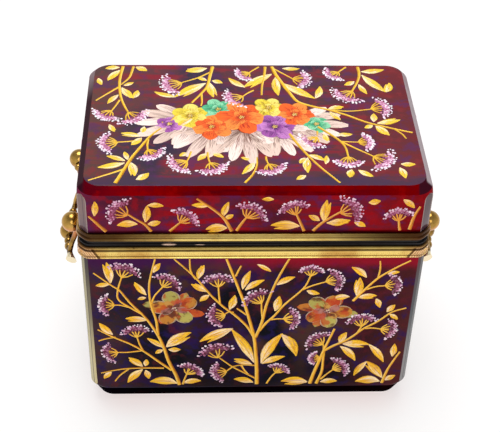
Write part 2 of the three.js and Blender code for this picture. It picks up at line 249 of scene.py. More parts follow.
# each shell is measured from its bevelled end: the body upwards from its foot, the lid down from its top
bodyShape = {
    "end": 0, "way": 1, "rim": 93.3, "floor": 9, "fillet": 3, "corner": 3,
    "bevelIn": 3, "bevel": 8, "endRound": 7,
}
lidShape = {
    "end": 124.4, "way": -1, "rim": 25.4, "floor": 5.9, "fillet": 3, "corner": 4,
    "bevelIn": 2.6, "bevel": 3.2, "endRound": 7.2,
}
glassLooks = {
    # warm is the right end and cool the left; an edge is the strip between its two heights, and its
    # second colour is at the right; on the lid wall the edge is painted shade just above the band, and
    # on the foot a painted highlight along its crease
    "rubyWall": {
        "colours": ((40, 20, 26), (66, 42, 38), (44, 18, 58), (12, 12, 20)), "streaks": (14, 14, 22),
        "flecks": ((34, 22, 78), (88, 26, 34)), "cool": (60, 42, 48), "warm": (76, 28, 30),
        "deep": (8, 10, 16), "edge": ((62, 20, 66), (140, 16, 34)), "edgeAt": (79, 87),
        "roughness": 0.05, "specular": 0.03,
    },
    "rubyLidWall": {
        "colours": ((106, 16, 28), (148, 6, 20), (88, 26, 50), (64, 16, 28)), "streaks": (8, 8, 70),
        "flecks": ((76, 30, 78), (150, 8, 16)), "cool": (84, 32, 60), "warm": (124, 2, 4),
        # the lid wall's edge is painted shade, near black just above the band
        "edge": ((34, 2, 6), (40, 0, 0)), "edgeAt": (104.0, 101.9), "roughness": 0.05, "specular": 0.03,
    },
    # the top's greyish tones are partly the glass and partly a painted reflection of the pale surroundings
    "rubyTop": {
        "colours": ((94, 52, 60), (78, 50, 58), (126, 38, 50), (56, 46, 64)), "streaks": (5, 44, 5),
        "flecks": ((84, 46, 88), (132, 46, 52)), "cool": (92, 66, 58), "warm": (108, 40, 42),
        "front": (66, 52, 72), "roughness": 0.05, "specular": 0.05,
    },
    "rubyBevel": {
        "colours": ((98, 0, 1), (122, 0, 1), (78, 1, 8), (132, 0, 1)), "streaks": (5, 30, 60),
        "flecks": ((92, 2, 14), (136, 2, 2)), "cool": (58, 3, 20), "warm": (112, 0, 1), "corner": (40, 14, 26),
        "slopes": ((1, (150, 134, 138), (160, 148, 152)), (-1, (128, 112, 116), (58, 40, 46))),
        "roughness": 0.05, "specular": 0.0,
    },
    # the foot's bevel is painted near black, as the shade under the casket
    "rubyFoot": {
        "colours": ((5, 2, 4), (10, 2, 3), (4, 3, 6), (12, 2, 3)), "streaks": (8, 8, 40),
        "flecks": ((8, 4, 12), (24, 3, 4)), "cool": (5, 3, 6), "warm": (16, 3, 5),
        "edge": ((62, 62, 80), (64, 30, 40)), "edgeAt": (7.4, 7.9), "roughness": 0.06, "specular": 0.0,
    },
    "rubyInside": {
        "colours": ((74, 8, 20), (92, 8, 22), (58, 10, 30), (104, 10, 22)), "streaks": (8, 8, 14),
        "flecks": ((66, 10, 40), (108, 14, 24)), "cool": (70, 10, 34), "warm": (108, 12, 20),
        "roughness": 0.08, "specular": 0.3,
    },
}


def rubyGlass(name):
    # dark glass whose colour lies in streaks, as it does where its layers overlap
    look = glassLooks[name]
    material, board, place, (x, y, z) = newMaterial(name)
    streak = board.noise(place, 5, detail=5, roughness=0.6, stretch=look["streaks"])
    flecks = board.noise(place, 130, detail=3, roughness=0.65)
    drift = x + streak * 30 - 15
    first, second, third, fourth = look["colours"]
    base = board.coats(
        first, (board.noise(place, 22, detail=2).ramp(0.4, 0.62), second),
        (streak.ramp(0.46, 0.62), third),
        (board.noise(place, 31, detail=1).ramp(0.52, 0.66), fourth),
        ((x + streak * 40 - 20).ramp(24, 78) * 0.8, look["warm"]),
        (drift.ramp(-34, -76) * 0.75, look["cool"]),
        (flecks.ramp(0.5, 0.64) * 0.6, look["flecks"][0]),
        (flecks.ramp(0.47, 0.33) * 0.5, look["flecks"][1]))
    if "deep" in look:  # the middle of the wall's lower part
        base = board.coats(base, (z.ramp(40, 12) * abs(x + 4).ramp(60, 24) * 0.62, look["deep"]))
    if "front" in look:  # a band of dusk along the front edge
        base = board.coats(base, (y.ramp(-37.4, -39.6) * streak.ramp(0.34, 0.46) * 0.8, look["front"]))
    if "corner" in look:
        corner = (abs(x).ramp(68.5, 70.5) + x.ramp(65.4, 66.4)).maths("MINIMUM", 1)
        base = board.coats(base, (corner * 0.9, look["corner"]))
        for way, rear, front in look["slopes"]:  # the slopes at the ends, which catch the light
            slope = (x * way).ramp(69.2, 70) * y.ramp(-41.6, -40) * (0.75 + streak * 0.5).maths("MINIMUM", 1)
            base = board.coats(base, (slope, board.blend(y.ramp(16, 40), front, rear)))
    # the edge strip; on the lid wall it is painted shade above the band, and on the foot a painted highlight on its
    # crease
    if "edge" in look:
        low, high = look["edgeAt"]
        edge = board.blend(drift.ramp(-34, 16), *look["edge"])
        rim = (z + streak * (high - low) - (high - low) / 2 - low) / (high - low)
        base = board.coats(base, (rim.ramp(0, 1) * 0.9, edge))
    return finishMaterial(material, board, {
        "Base Color": base,
        "Roughness": look["roughness"] + board.noise(place, 160, detail=4) * 0.05,
        "Specular IOR Level": look["specular"],
        "IOR": 1.5,
        "Normal": board.bump(board.noise(place, 60, detail=2), 0.05, 0.0004),
    })


cutLook = {  # the strips have a colour at the top, the middle and the foot, and the pairs a left and a right one; the left ones are painted lighter, as lit, and the right ones darker, as shaded, and the outer strip and the lid's edge are painted highlights
    "left": ((50, 40, 44), (112, 102, 78), (196, 180, 132)),
    "right": ((66, 26, 30), (52, 56, 62), (124, 120, 120)),
    "outer": ((188, 180, 146), (110, 112, 112)), "line": (40, 28, 30),
    "lid": ((120, 94, 90), (72, 46, 48)), "lidFoot": (78, 56, 70), "lidEdge": (180, 164, 154), "lidLine": (70, 48, 62),
}


def cutGlass():
    # the flat corner cuts, with the light that comes through the edge of the glass painted on in strips
    look = cutLook
    material, board, place, (x, y, z) = newMaterial("cutGlass")
    across, toRight = board.value("across"), x.ramp(-10, 10)
    wobble = board.noise(place, 30, detail=3)
    rise = z + wobble * 16 - 8

    def strip(top, middle, foot):
        return board.coats(foot, (rise.ramp(20, 60), middle), (rise.ramp(55, 92), top))

    body = board.coats(
        board.blend(toRight, strip(*look["left"]), strip(*look["right"])),
        ((0.42 - across + wobble * 0.1).ramp(-0.06, 0.1) * 0.7, board.blend(toRight, *look["outer"])),
        (abs(across - 0.47).ramp(0.09, 0.02) * 0.75, look["line"]))
    lid = board.coats(
        board.blend(toRight, *look["lid"]),
        ((z + wobble * 10).ramp(118, 104) * 0.65, look["lidFoot"]),
        (abs(across - 0.5).ramp(0.36, 0.46) * 0.5, look["lidEdge"]),
        (abs(across - 0.62).ramp(0.09, 0.02) * 0.6, look["lidLine"]))
    return finishMaterial(material, board, {
        "Base Color": board.blend(z.ramp(95, 97), body, lid),
        "Roughness": 0.06 + wobble * 0.06,
        "Specular IOR Level": 0.2,
    })


def cornerPlan(offset, z, leg, radius, easedCut=False):
    # The casket's plan at one height: a corner of this radius, cut across by a flat of this leg.
    # An eased cut has its own two edges rounded instead.
    halfX, halfY = glass["halfWidth"] + offset, glass["halfDepth"] + offset
    if radius <= leg or easedCut:
        shift = leg + radius * math.tan(math.pi / 8)
        centres = ((halfX - radius, halfY - shift), (halfX - shift, halfY - radius))
        turn = math.pi / 4
    else:
        flatShare = min(1, math.sqrt(2) - leg / (radius * math.sqrt(2)))
        turn = math.pi / 4 - max(0.008, math.acos(flatShare))
        centres = ((halfX - radius, halfY - radius),) * 2
    quarter = []
    for (middleX, middleY), start in zip(centres, (0, quarterTurn - turn)):
        for i in range(glass["cornerSteps"] + 1):
            angle = start + turn * i / glass["cornerSteps"]
            quarter.append((middleX + radius * math.cos(angle), middleY + radius * math.sin(angle)))
    loop = []
    for signX, signY, order in ((1, 1, 1), (-1, 1, -1), (-1, -1, 1), (1, -1, -1)):
        loop += [(signX * px, signY * py, z) for px, py in quarter[::order]]
    return loop


def offsetCorner(corner, offset):
    return max(1, corner + offset * (2 - math.sqrt(2)))


perCorner = 2 * (glass["cornerSteps"] + 1)
acrossValues = ([0] * (perCorner // 2) + [1] * perCorner + [0] * (perCorner // 2)) * 2


def glassShell(name, shape, materials):
    # Levels of offset, height, leg and radius run from the bevelled end up the outside, over the
    # rim and back down the inside. The materials are those of the wall, the bevel, the corner
    # cuts, the inside and, where it has its own, the flat end.
    g, corner, bevel, fillet = glass, shape["corner"], shape["bevel"], shape["fillet"]
    wall, cut, inset, steps = g["wall"], bevel + g["facetFade"], -shape["bevelIn"], g["fadeSteps"]
    path = softened([(inset - g["lip"], 0), (inset, 0), (0, bevel), (0, cut)], g["creaseRound"])[:-1]
    last, levels = path[-1][1], []
    for offset, up in path + [(0, last + (cut - last) * i / steps) for i in range(1, steps + 1)]:
        share = (cut - up) / g["facetFade"]  # above 0 the corner's flat cut dies away
        if share > 1:
            radius = shape["endRound"] + (g["facetRound"] - shape["endRound"]) * up / bevel
        elif share > 1e-6:
            radius = corner + (g["facetRound"] - corner) * share ** g["fadePower"]
        else:
            radius = g["edgeRound"]
        levels.append((offset, up, max(0, corner + 2 * offset), radius))
    rim = softened([(0, cut), (0, shape["rim"]), (-wall, shape["rim"]), (-wall, shape["floor"] + fillet + 1)],
                   g["creaseRound"])
    levels += [(offset, up, offsetCorner(corner, offset), g["edgeRound"]) for offset, up in rim[1:]]
    for i in range(g["filletSteps"] + 1):
        along, rise = math.cos(quarterTurn * i / g["filletSteps"]), math.sin(quarterTurn * i / g["filletSteps"])
        levels.append((-wall - fillet * (1 - along), shape["floor"] + fillet * (1 - rise),
                       offsetCorner(corner, -wall) * along, g["edgeRound"] + (g["innerRound"] - g["edgeRound"]) * rise))

    def slotOf(offset, up):
        if offset < -wall * 0.9 and up > 1:
            return 3
        if up > bevel - 0.1:
            return 0
        return 4 if up < 0.02 and len(materials) > 4 else 1

    levels, slots = levels[::shape["way"]], []
    for low, high in zip(levels, levels[1:]):
        slot = slotOf((low[0] + high[0]) / 2, (low[1] + high[1]) / 2)
        flatCut = low[3] <= g["edgeRound"] or math.sqrt(2) - low[2] / (low[3] * math.sqrt(2)) < 1
        for j in range(4 * perCorner):
            slots.append(2 if slot == 0 and flatCut and j % perCorner == perCorner // 2 - 1 else slot)
    slots += [slotOf(*level[:2]) for level in (levels[0], levels[-1])]
    loops = [cornerPlan(offset, shape["end"] + shape["way"] * up, leg, radius) for offset, up, leg, radius in levels]
    return makePiece(name, flattened(loops), loftFaces(len(loops), len(loops[0])), materials, slots,
                     {"across": acrossValues * len(loops)}, creaseAngle=24)


brassLooks = {
    # blush is a pinker or paler tone from blushFrom outwards, and between two heights; on the cast brass it
    # is a painted pink reflection. At each height a pair of numbers is where a coat begins and where it is full
    "giltBrass": {
        "fresh": (242, 212, 122), "deep": (206, 160, 82), "grimeAndShade": (46, 22, 6),
        "blush": (226, 150, 112), "blushFrom": (62, 71), "blushShare": 0.36, "roughness": 0.19, "metallic": 1.0,
        "dusk": (52, 22, 12), "duskFrom": (18, 62), "duskAbove": (97.2, 97.8),
        "mitre": {"edges": (65.7, 40.1), "walls": (72.3, 46.6), "middle": 91, "lean": 0.6, "line": 0.7, "pitch": 1.05,
                  "above": (88.5, 88.9), "below": (93.8, 93.4), "patch": (250, 206, 160), "cut": (84, 52, 20)},
    },
    "castBrass": {
        "fresh": (190, 150, 76), "deep": (96, 68, 26), "grimeAndShade": (40, 28, 12),
        # the blush here is a painted pink reflection, low on the balls and on the tops of the arms
        "blush": (236, 148, 110), "blushFrom": (60, 72), "blushAbove": (72, 78), "blushBelow": (88, 84),
        "blushShare": 0.6, "foot": (254, 240, 204), "roughness": 0.13, "metallic": 1.0,
    },
    # the liners: painted dark, as the shade in the seam between the two rims
    "darkBrass": {
        "fresh": (36, 30, 30), "deep": (14, 10, 12), "grimeAndShade": (5, 4, 5),
        "blush": (70, 70, 74), "blushFrom": (50, 74), "blushShare": 0.36, "roughness": 0.4, "metallic": 0.7,
        "glints": ((-35.4, 3.4, 95.7, 0.9), (-22.8, 2.6, 95.5, 0.4)), "wornTone": (240, 206, 182),
    },
}


def brass(name):
    # gilding that has worn thin in patches, with grime and painted shade where a cloth doesn't reach, where parts meet
    # and in bands along the beads
    look = brassLooks[name]
    material, board, place, (x, y, z) = newMaterial(name)
    patches = board.noise(place, 55, detail=5, roughness=0.62)
    specks = board.noise(place, 420, detail=3, roughness=0.7)
    drawn = board.noise(place, 90, detail=4, stretch=(0.25, 0.25, 9))  # lines left by rolling
    level = z + patches * 10 - 5
    blush = (abs(x) + patches * 8 - 4).ramp(*look["blushFrom"]) * look["blushShare"]
    for key in ("blushAbove", "blushBelow"):
        if key in look:
            blush = blush * level.ramp(*look[key])
    base = board.coats(look["fresh"], (patches.ramp(0.42, 0.7), look["deep"]), (blush, look["blush"]))
    if "dusk" in look:  # painted reflection: the lid's rim darker and browner towards its corners, as it mirrors dark surroundings
        ends = abs(x + 3).ramp(*look["duskFrom"]) * abs(y).ramp(42, 46) * z.ramp(*look["duskAbove"])
        base = board.coats(base, (ends * 0.9, look["dusk"]))
    if "mitre" in look:  # a pale patch of painted highlight, with leaning cut lines and a dark line, at each corner of the body's rim
        m = look["mitre"]
        for run, across, edge, wall in zip((x, y), (y, x), m["edges"], m["walls"][::-1]):
            inRim = abs(across).ramp(wall, wall + 0.3) * z.ramp(*m["above"]) * z.ramp(*m["below"])
            lean = abs(run) - (z - m["middle"]) * m["lean"] - edge
            patch, line = lean.ramp(0.1, 0.3) * inRim, abs(lean).ramp(m["line"], m["line"] / 2) * inRim
            cuts = abs((lean / m["pitch"]).maths("FRACT") - 0.5).ramp(0.24, 0.1) * patch
            base = board.coats(base, (patch * 0.5, m["patch"]),
                               ((cuts * 0.6 + line * 0.85).maths("MINIMUM", 1), m["cut"]))
    for centre, wide, height, tall in look.get("glints", ()):  # pale painted glints on the dark seam at the front
        far = ((x - centre + patches * 2 - 1) / wide) ** 2 + ((z - height) / tall) ** 2
        base = board.coats(base, (far.ramp(1, 0.2) * y.ramp(-44, -46) * 0.85, look["wornTone"]))
    if "foot" in look:  # painted reflection: the ends of the grip pale, where the floor shows in them
        base = board.coats(base, (abs(y).ramp(17.4, 19) * z.ramp(73, 69) * 0.85, look["foot"]))
    # the piece's darkening is grime and painted shade together, with specks of dirt
    grimeAndShade = board.value("grimeAndShade") * 0.8 + specks.ramp(0.6, 0.75) * 0.25
    return finishMaterial(material, board, {
        "Base Color": board.blend(grimeAndShade.maths("MINIMUM", 1), base, look["grimeAndShade"]),
        "Metallic": look["metallic"],
        "Roughness": look["roughness"] + patches * 0.14 + grimeAndShade * 0.25,
        "Normal": board.bump(drawn * 0.6 + specks * 0.4, 0.16, 0.0002),
    })


rims = {
    "bodyBase": 88.4, "bodyHeight": 6.2, "lidBase": 97.7, "lidHeight": 4.1,
    "reach": 1.5, "field": 1.25, "groove": 0.85, "flangeIn": -5.0, "flangeThickness": 1, "cement": 0.3,
    "lowBead": 1.3, "lowGroove": 0.35, "highBead": 1, "highGroove": 0.7, "lidBead": 2.4, "lidGroove": 0.6,
    "cornerRound": 3.4, "hiddenGrime": 0.8,
    # from each of these heights up, this much grime and painted shade: the grooves darkened, and painted reflection
    # bands along the beads
    "lidGrime": ((3.4, 0.6), (2.9, 0.75), (2.4, 0.55), (1.8, 1.0), (1.4, 0.3), (0.6, 0.0), (0.4, 0.35), (-1, 0.75)),
    "bodyGrime": ((5.8, 1.0), (5.4, 0.6), (5.1, 0.25), (4.1, 1.0), (3.9, 0.6), (2.6, 0.0), (1.7, 0.15),
                  (1.25, 0.5), (0.5, 0.1), (-1, 0.55)),
}
liners = {
    "out": -5.3, "in": -6.1, "neckReach": 0.2, "lip": 0.25, "lipHeight": 0.3, "bodyLow": 85.3, "bodyTop": 94.75,
    "seamBottom": 96.0, "tongueOut": -6.45, "tongueIn": -7.3, "tongueTop": 98.0, "step": 95.0,
    "seamTop": 96.3, "lidLow": 97.55, "lidTop": 107.0, "bodyGrime": 0.7, "lidGrime": 0.5,
}


def bead(low, high, foot, reach, steps=10):
    return [(foot + (reach - foot) * math.sin(math.pi * i / steps), low + (high - low) * i / steps)
            for i in range(steps + 1)]


def ringPiece(name, section, corner, material, grimeAndShadeAt):
    # a frame of one section all round the casket
    loops = [cornerPlan(offset, z, offsetCorner(corner, offset), max(0.3, rims["cornerRound"] + offset), True)
             for offset, z in section]
    grimeAndShade = flattened([[grimeAndShadeAt(offset, z)] * len(loops[0]) for offset, z in section])
    return brassPiece(name, flattened(loops), loftFaces(len(loops), len(loops[0]), joinEnds=True), material, grimeAndShade)


def bandPiece(name, outside, inside, base, corner, lines):
    # a gilt rim: its outside is measured from its base, and grime and painted shade lie in lines along it
    def grimeAndShadeAt(offset, z):
        # the faces against the glass, darkened as grime and painted shade
        if offset <= rims["cement"] + 0.1:
            return rims["hiddenGrime"]
        return next(amount for low, amount in lines if z - base >= low)

    section = [(offset, base + z) for offset, z in outside] + inside
    return ringPiece(name, section, corner, giltBrass, grimeAndShadeAt)


def bodyBand():
    r = rims
    groove, field, height = r["groove"], r["field"], r["bodyHeight"]
    low, high = r["lowBead"] + r["lowGroove"], height - r["highBead"] - r["highGroove"]
    outside = [(r["cement"], 0)] + bead(0, r["lowBead"], groove, r["reach"])
    outside += softened([(groove, low - 0.02), (groove, low), (field, low), (field, low + 1.2), (field, low + 1.5),
                         (field, high - 0.5), (field, high), (groove, high), (groove, high + 0.02)], 0.12)[1:-1]
    outside += bead(height - r["highBead"], height, groove, field)
    top = r["bodyBase"] + height
    flange = top - r["flangeThickness"]
    inside = [(r["flangeIn"], top), (r["flangeIn"], flange), (r["cement"], flange)]
    return bandPiece("bodyBand", outside, inside, r["bodyBase"], bodyShape["corner"], r["bodyGrime"])


def lidBand():
    r = rims
    groove, field, height = r["groove"], r["field"], r["lidHeight"]
    ledge = r["lidBead"] + r["lidGroove"]
    outside = [(r["flangeIn"], 0)] + bead(0, r["lidBead"], groove, r["reach"], 14)
    outside += softened([(groove, ledge - 0.02), (groove, ledge), (field, ledge), (field - 0.15, height),
                         (r["cement"], height)], 0.14)[1:-1]
    flange = r["lidBase"] + r["flangeThickness"]
    inside = [(r["cement"], r["lidBase"] + height), (r["cement"], flange), (r["flangeIn"], flange)]
    return bandPiece("lidBand", outside, inside, r["lidBase"], lidShape["corner"], r["lidGrime"])


def bodyLiner():
    n = liners
    neck, lip, lipZ = n["neckReach"], n["neckReach"] + n["lip"], n["seamBottom"] - n["lipHeight"]
    section = [(n["in"], n["bodyLow"]), (n["out"], n["bodyLow"]), (n["out"], n["bodyTop"]), (neck, n["bodyTop"]),
               (neck, lipZ), (lip, lipZ), (lip, n["seamBottom"]), (n["tongueOut"], n["seamBottom"]),
               (n["tongueOut"], n["tongueTop"]), (n["tongueIn"], n["tongueTop"]), (n["tongueIn"], n["step"]),
               (n["in"], n["step"])]
    # darker below the lip, as grime and painted shade
    return ringPiece("bodyLiner", section, bodyShape["corner"], darkBrass,
                     lambda offset, z: 0 if z > lipZ - 0.05 else n["bodyGrime"])


def lidLiner():
    n = liners
    section = [(n["in"], n["seamTop"]), (n["neckReach"], n["seamTop"]), (n["neckReach"], n["lidLow"]),
               (n["out"], n["lidLow"]), (n["out"], n["lidTop"]), (n["in"], n["lidTop"])]
    # darkened all over, as grime and painted shade
    return ringPiece("lidLiner", section, lidShape["corner"], darkBrass, lambda offset, z: n["lidGrime"])


def newRule(name, inputs):
    # a geometry rule, whose named inputs have these kinds and values
    tree = bpy.data.node_groups.new(name, "GeometryNodeTree")
    tree.interface.new_socket("Geometry", in_out="OUTPUT", socket_type="NodeSocketGeometry")
    for label, kind, value in (("Geometry", "Geometry", None), *inputs, ("Material", "Material", None)):
        socket = tree.interface.new_socket(label, in_out="INPUT", socket_type="NodeSocket" + kind)
        if value is not None:
            socket.default_value = value
    board = Board(tree)
    return tree, board, board.add("NodeGroupInput")


def standing(board, given, shape, scale=(1, 1, 1)):
    # the shape at each point of the seed, standing up the way that the point faces
    turned = board.step("FunctionNodeAlignRotationToVector", {"axis": "Z"}, "Rotation",
                        Vector=board.named("facing", "FLOAT_VECTOR"))
    return board.step("GeometryNodeInstanceOnPoints", output="Instances", Points=given["Geometry"],
                      Instance=shape, Rotation=turned, Scale=scale)


def endRule(board, shape, given):
    real = board.step("GeometryNodeRealizeInstances", Geometry=shape)
    done = board.step("GeometryNodeSetMaterial", Geometry=real, Material=given["Material"])
    board.add("NodeGroupOutput", {}, {0: done})


def grow(name, seed, tree, values):
    # runs a rule on a mesh of points or lines, and keeps the result as a plain mesh
    source = linkPiece(name + "Seed", seed)
    modifier = source.modifiers.new("rule", "NODES")
    modifier.node_group = tree
    for item in tree.interface.items_tree:
        if item.item_type == "SOCKET" and item.in_out == "INPUT" and item.name in values:
            modifier[item.identifier] = values[item.name]
    ready = source.evaluated_get(bpy.context.evaluated_depsgraph_get())
    mesh = bpy.data.meshes.new_from_object(ready)
    bpy.data.objects.remove(source)
    mesh.name = name
    mesh.polygons.foreach_set("use_smooth", [True] * len(mesh.polygons))
    return linkPiece(name, mesh)


def seedMesh(name, points, edges, values):
    # points and lines, with a list of numbers, vectors or colours for each label
    mesh = bpy.data.meshes.new(name)
    mesh.from_pydata([tuple(c * mm for c in p) for p in points], edges, [])
    for label, given in values.items():
        size = len(given[0]) if hasattr(given[0], "__len__") else 1
        kind, key = {1: ("FLOAT", "value"), 3: ("FLOAT_VECTOR", "vector"), 4: ("FLOAT_COLOR", "color")}[size]
        mesh.attributes.new(label, kind, "POINT").data.foreach_set(key, given if size == 1 else flattened(given))
    return mesh


milling = {
    "pitch": 0.9, "tickRadius": 0.26, "tickLength": 1.1, "height": 90.7, "sunk": 0.06, "clear": 8,
    "cutIn": 1.9, "cutPitch": 0.75, "cutRise": 0.3, "lean": 0.62,
}


def millingRule():
    tree, board, given = newRule("milledStrip", [("Tick radius", "Float", 0.0002), ("Tick length", "Float", 0.0015)])
    tick = board.step("GeometryNodeMeshCylinder", output="Mesh", Vertices=6, Radius=given["Tick radius"],
                      Depth=given["Tick length"])
    endRule(board, standing(board, given, tick), given)
    return tree


def milledStrip():
    # fine ridges along the foot of the band's field, leaning over on the corner cuts
    m = milling
    out = rims["field"] - m["sunk"]
    wallX, wallY = glass["halfWidth"] + out, glass["halfDepth"] + out
    points, leans = [], []
    for sideX, sideY in ((0, -1), (0, 1), (-1, 0), (1, 0)):
        length = 2 * (glass["halfWidth"] if sideY else glass["halfDepth"])
        count = int((length - m["clear"]) / m["pitch"])
        for i in range(count + 1):
            run = (i - count / 2) * m["pitch"]
            points.append((run if sideY else sideX * wallX, sideY * wallY if sideY else run, m["height"]))
            leans.append((0, 0, 1))
    for signX in (-1, 1):
        for signY in (-1, 1):
            middle = Vector((signX * (wallX - m["cutIn"]), signY * (wallY - m["cutIn"])))
            along = Vector((signX, -signY)).normalized()
            for i in range(-2, 3):
                points.append((*(middle + along * i * m["cutPitch"]), m["height"] + m["cutRise"]))
                leans.append((*(along * m["lean"]), 1))
    seed = seedMesh("milledStrip", points, [], {"facing": leans})
    return grow("milledStrip", seed, millingRule(), {
        "Tick radius": m["tickRadius"] * mm, "Tick length": m["tickLength"] * mm, "Material": giltBrass})


hinge = {
    "length": 60, "knuckles": 5, "radius": 1.9, "gap": 0.3, "leaf": 0.8, "pin": 0.8, "pinGap": 0.3,
    "headRadius": 1.5, "headLength": 1.2, "y": 50.6, "z": 96.15, "plateY": 48.55, "plateEase": 0.15,
    "bodyPlate": (89.0, 94.4), "lidPlate": (97.9, 101.2), "sides": 28, "pinSides": 20,
}


def turnedPoints(profile, sides, axis, centre):
    # points of a turned piece: its profile is radius and place along the axis
    points = []
    for radius, along in profile:
        for i in range(sides):
            angle = 2 * math.pi * i / sides
            a, b = radius * math.cos(angle), radius * math.sin(angle)
            point = {"X": (along, a, b), "Y": (b, along, a)}[axis]
            points.append(tuple(p + c for p, c in zip(point, centre)))
    return points


def hingeLeaf(name, first, plate):
    # first is the number of the leaf's first knuckle, and plate its lower and upper edge
    h = hinge
    low, high = plate
    half, pitch, middle = h["length"] / 2, h["length"] / h["knuckles"], (low + high) / 2
    corners = softened([(-half, low + 1), (-half, low), (half, low), (half, high), (-half, high), (-half, low + 1)],
                       0.5)[1:-1]
    loops = []
    for inset, lift in ((0, 0), (0, h["leaf"] - h["plateEase"]), (h["plateEase"], h["leaf"])):
        shrink = 1 - 2 * inset / (high - low)
        loops.append([(x * (1 - inset / half), h["plateY"] + lift, (z - middle) * shrink + middle)
                      for x, z in corners[::-1]])
    pieces = [brassPiece(name + "Plate", flattened(loops), loftFaces(len(loops), len(loops[0])), giltBrass, 0.2)]
    bore = h["pin"] + h["pinGap"]
    for i in range(first, h["knuckles"], 2):
        start = -half + i * pitch + (0 if i == 0 else h["gap"] / 2)
        end = -half + (i + 1) * pitch - (0 if i == h["knuckles"] - 1 else h["gap"] / 2)
        profile = softened([(bore, start + 0.5), (bore, start), (h["radius"], start), (h["radius"], end),
                            (bore, end), (bore, end - 0.5)], 0.22)
        points = turnedPoints(profile, h["sides"], "X", (0, h["y"], h["z"]))
        faces = loftFaces(len(profile), h["sides"], joinEnds=True)
        pieces.append(brassPiece(name + "Knuckle", points, faces, giltBrass, 0.1))
        # the web that rolls from the plate into the knuckle
        below = high < h["z"]
        foot, outer = (high - 0.4 if below else low + 0.4), h["plateY"] + h["leaf"] + 0.1
        section = [(h["plateY"] + 0.02, foot), (outer, foot), (outer, h["z"]), (h["plateY"] + 0.25, h["z"])]
        loops = [[(x, y, z) for y, z in section][::1 if below else -1] for x in (start + 0.02, end - 0.02)]
        pieces.append(brassPiece(name + "Web", flattened(loops), loftFaces(2, 4), giltBrass, 0.1))
    return joinPieces(name, pieces)


def hingePin():
    h = hinge
    foot = h["length"] / 2 + h["pinGap"]
    half = [(h["pin"], 0), (h["pin"], foot), (h["headRadius"], foot)]
    for i in range(6):
        turn = quarterTurn * i / 5
        half.append((max(0.02, h["headRadius"] * math.cos(turn)),
                     foot + h["headLength"] * (0.25 + 0.75 * math.sin(turn))))
    profile = [(radius, -along) for radius, along in half[::-1]] + half[1:]
    points = turnedPoints(profile, h["pinSides"], "X", (0, h["y"], h["z"]))
    return brassPiece("hingePin", points, loftFaces(len(profile), h["pinSides"]), castBrass, 0.1)


handle = {
    "ballX": 77.9, "ballZ": 87.3, "postY": 22.4, "ballRadius": 4.5, "ballSteps": 26, "ballSides": 40,
    "flatIn": 3.75, "bore": 1.2, "boreDepth": 5.5, "collar": 2.75, "collarSides": 32,
    "armRadius": 1.15, "armY": 16.45, "armSides": 16, "shoulder": 1.75, "shoulderSides": 20, "neckIn": 0.7,
    "gudgeon": 0.85, "gudgeonTip": 23.0, "gripOut": 2.1, "gripDrop": 21.7, "gripHalf": 20.6,
    "bowOut": 2.5, "bowDown": 2.8, "gripNeck": 1.25, "knob": 4.22, "tipBend": 2.2, "tipFrom": 16.4,
    "knop": 1.95, "knopHalf": 1.5, "knopPlaces": (7.2, 11.6), "foot": 2.5, "footLength": 3.6, "sides": 26,
}


def casting(name, side, parts):
    # parts of points, loops, sides and grime with painted shade, set by the balls of one side of the casket and joined
    pieces = []
    for points, loops, sides, grimeAndShade in parts:
        placed = [(side * (x + handle["ballX"]), side * y, z + handle["ballZ"]) for x, y, z in points]
        pieces.append(brassPiece(name + "Part", placed, loftFaces(loops, sides), castBrass, grimeAndShade))
        outward(pieces[-1])
    return joinPieces(name, pieces)


def handlePost(name, side, end):
    # a ball with a flat soldered to the band, drilled on the side that faces the handle's middle
    h = handle
    ball, bore, flat = h["ballRadius"], h["bore"], -h["flatIn"]
    mouth = math.asin(bore / ball)
    profile = [(0.02, h["boreDepth"] - ball), (bore, h["boreDepth"] - ball), (bore, -ball * math.cos(mouth) + 0.15)]
    for i in range(h["ballSteps"] + 1):
        angle = mouth + 0.03 + (math.pi - mouth - 0.03 - 0.02) * i / h["ballSteps"]
        profile.append((ball * math.sin(angle), -ball * math.cos(angle)))
    profile = [(radius, along * end) for radius, along in profile][::end]
    rounded = [(max(x, flat), y, z) for x, y, z in turnedPoints(profile, h["ballSides"], "Y", (0, 0, 0))]
    rim = [(h["collar"] + 0.3, flat - 0.14), (h["collar"] + 0.25, flat + 0.1), (h["collar"] - 0.25, flat + 0.4)]
    seat = turnedPoints(rim, h["collarSides"], "X", (0, 0, 0))
    parts = []
    # the ball darkened where its flat meets the band, as grime and painted shade
    for points, loops, sides, grimeAndShade in (
            (rounded, len(profile), h["ballSides"], [0.75 if x < flat + 0.25 else 0 for x, y, z in rounded]),
            (seat, len(rim), h["collarSides"], 0.6)):
        parts.append(([(x, side * (y + end * h["postY"]), z) for x, y, z in points], loops, sides, grimeAndShade))
    return casting(name, side, parts)


def sweepPoints(centres, radii, across, sides):
    points = []
    for i, (centre, radius) in enumerate(zip(centres, radii)):
        ahead = centres[min(i + 1, len(centres) - 1)] - centres[max(i - 1, 0)]
        other = ahead.normalized().cross(across).normalized()
        for j in range(sides):
            angle = 2 * math.pi * j / sides
            points.append(centre + across * (radius * math.cos(angle)) + other * (radius * math.sin(angle)))
    return points


def gripProfile():
    # half of the grip, from its middle outwards: the ball, the knops and the flared foot
    h = handle
    knob, neck = h["knob"], h["gripNeck"]
    half = []
    for i in range(13):
        along = math.sqrt(knob ** 2 - neck ** 2) * math.sin(quarterTurn * i / 12)
        half.append((along, math.sqrt(knob ** 2 - along ** 2)))
    for place in h["knopPlaces"]:
        for i in range(9):
            turn = math.pi * i / 8
            half.append((place - h["knopHalf"] * math.cos(turn), neck + (h["knop"] - neck) * math.sin(turn) ** 0.8))
    for i in range(8):
        share = i / 7
        half.append((h["gripHalf"] - h["footLength"] * (1 - share), neck + (h["foot"] - neck) * share ** 2))
    return half


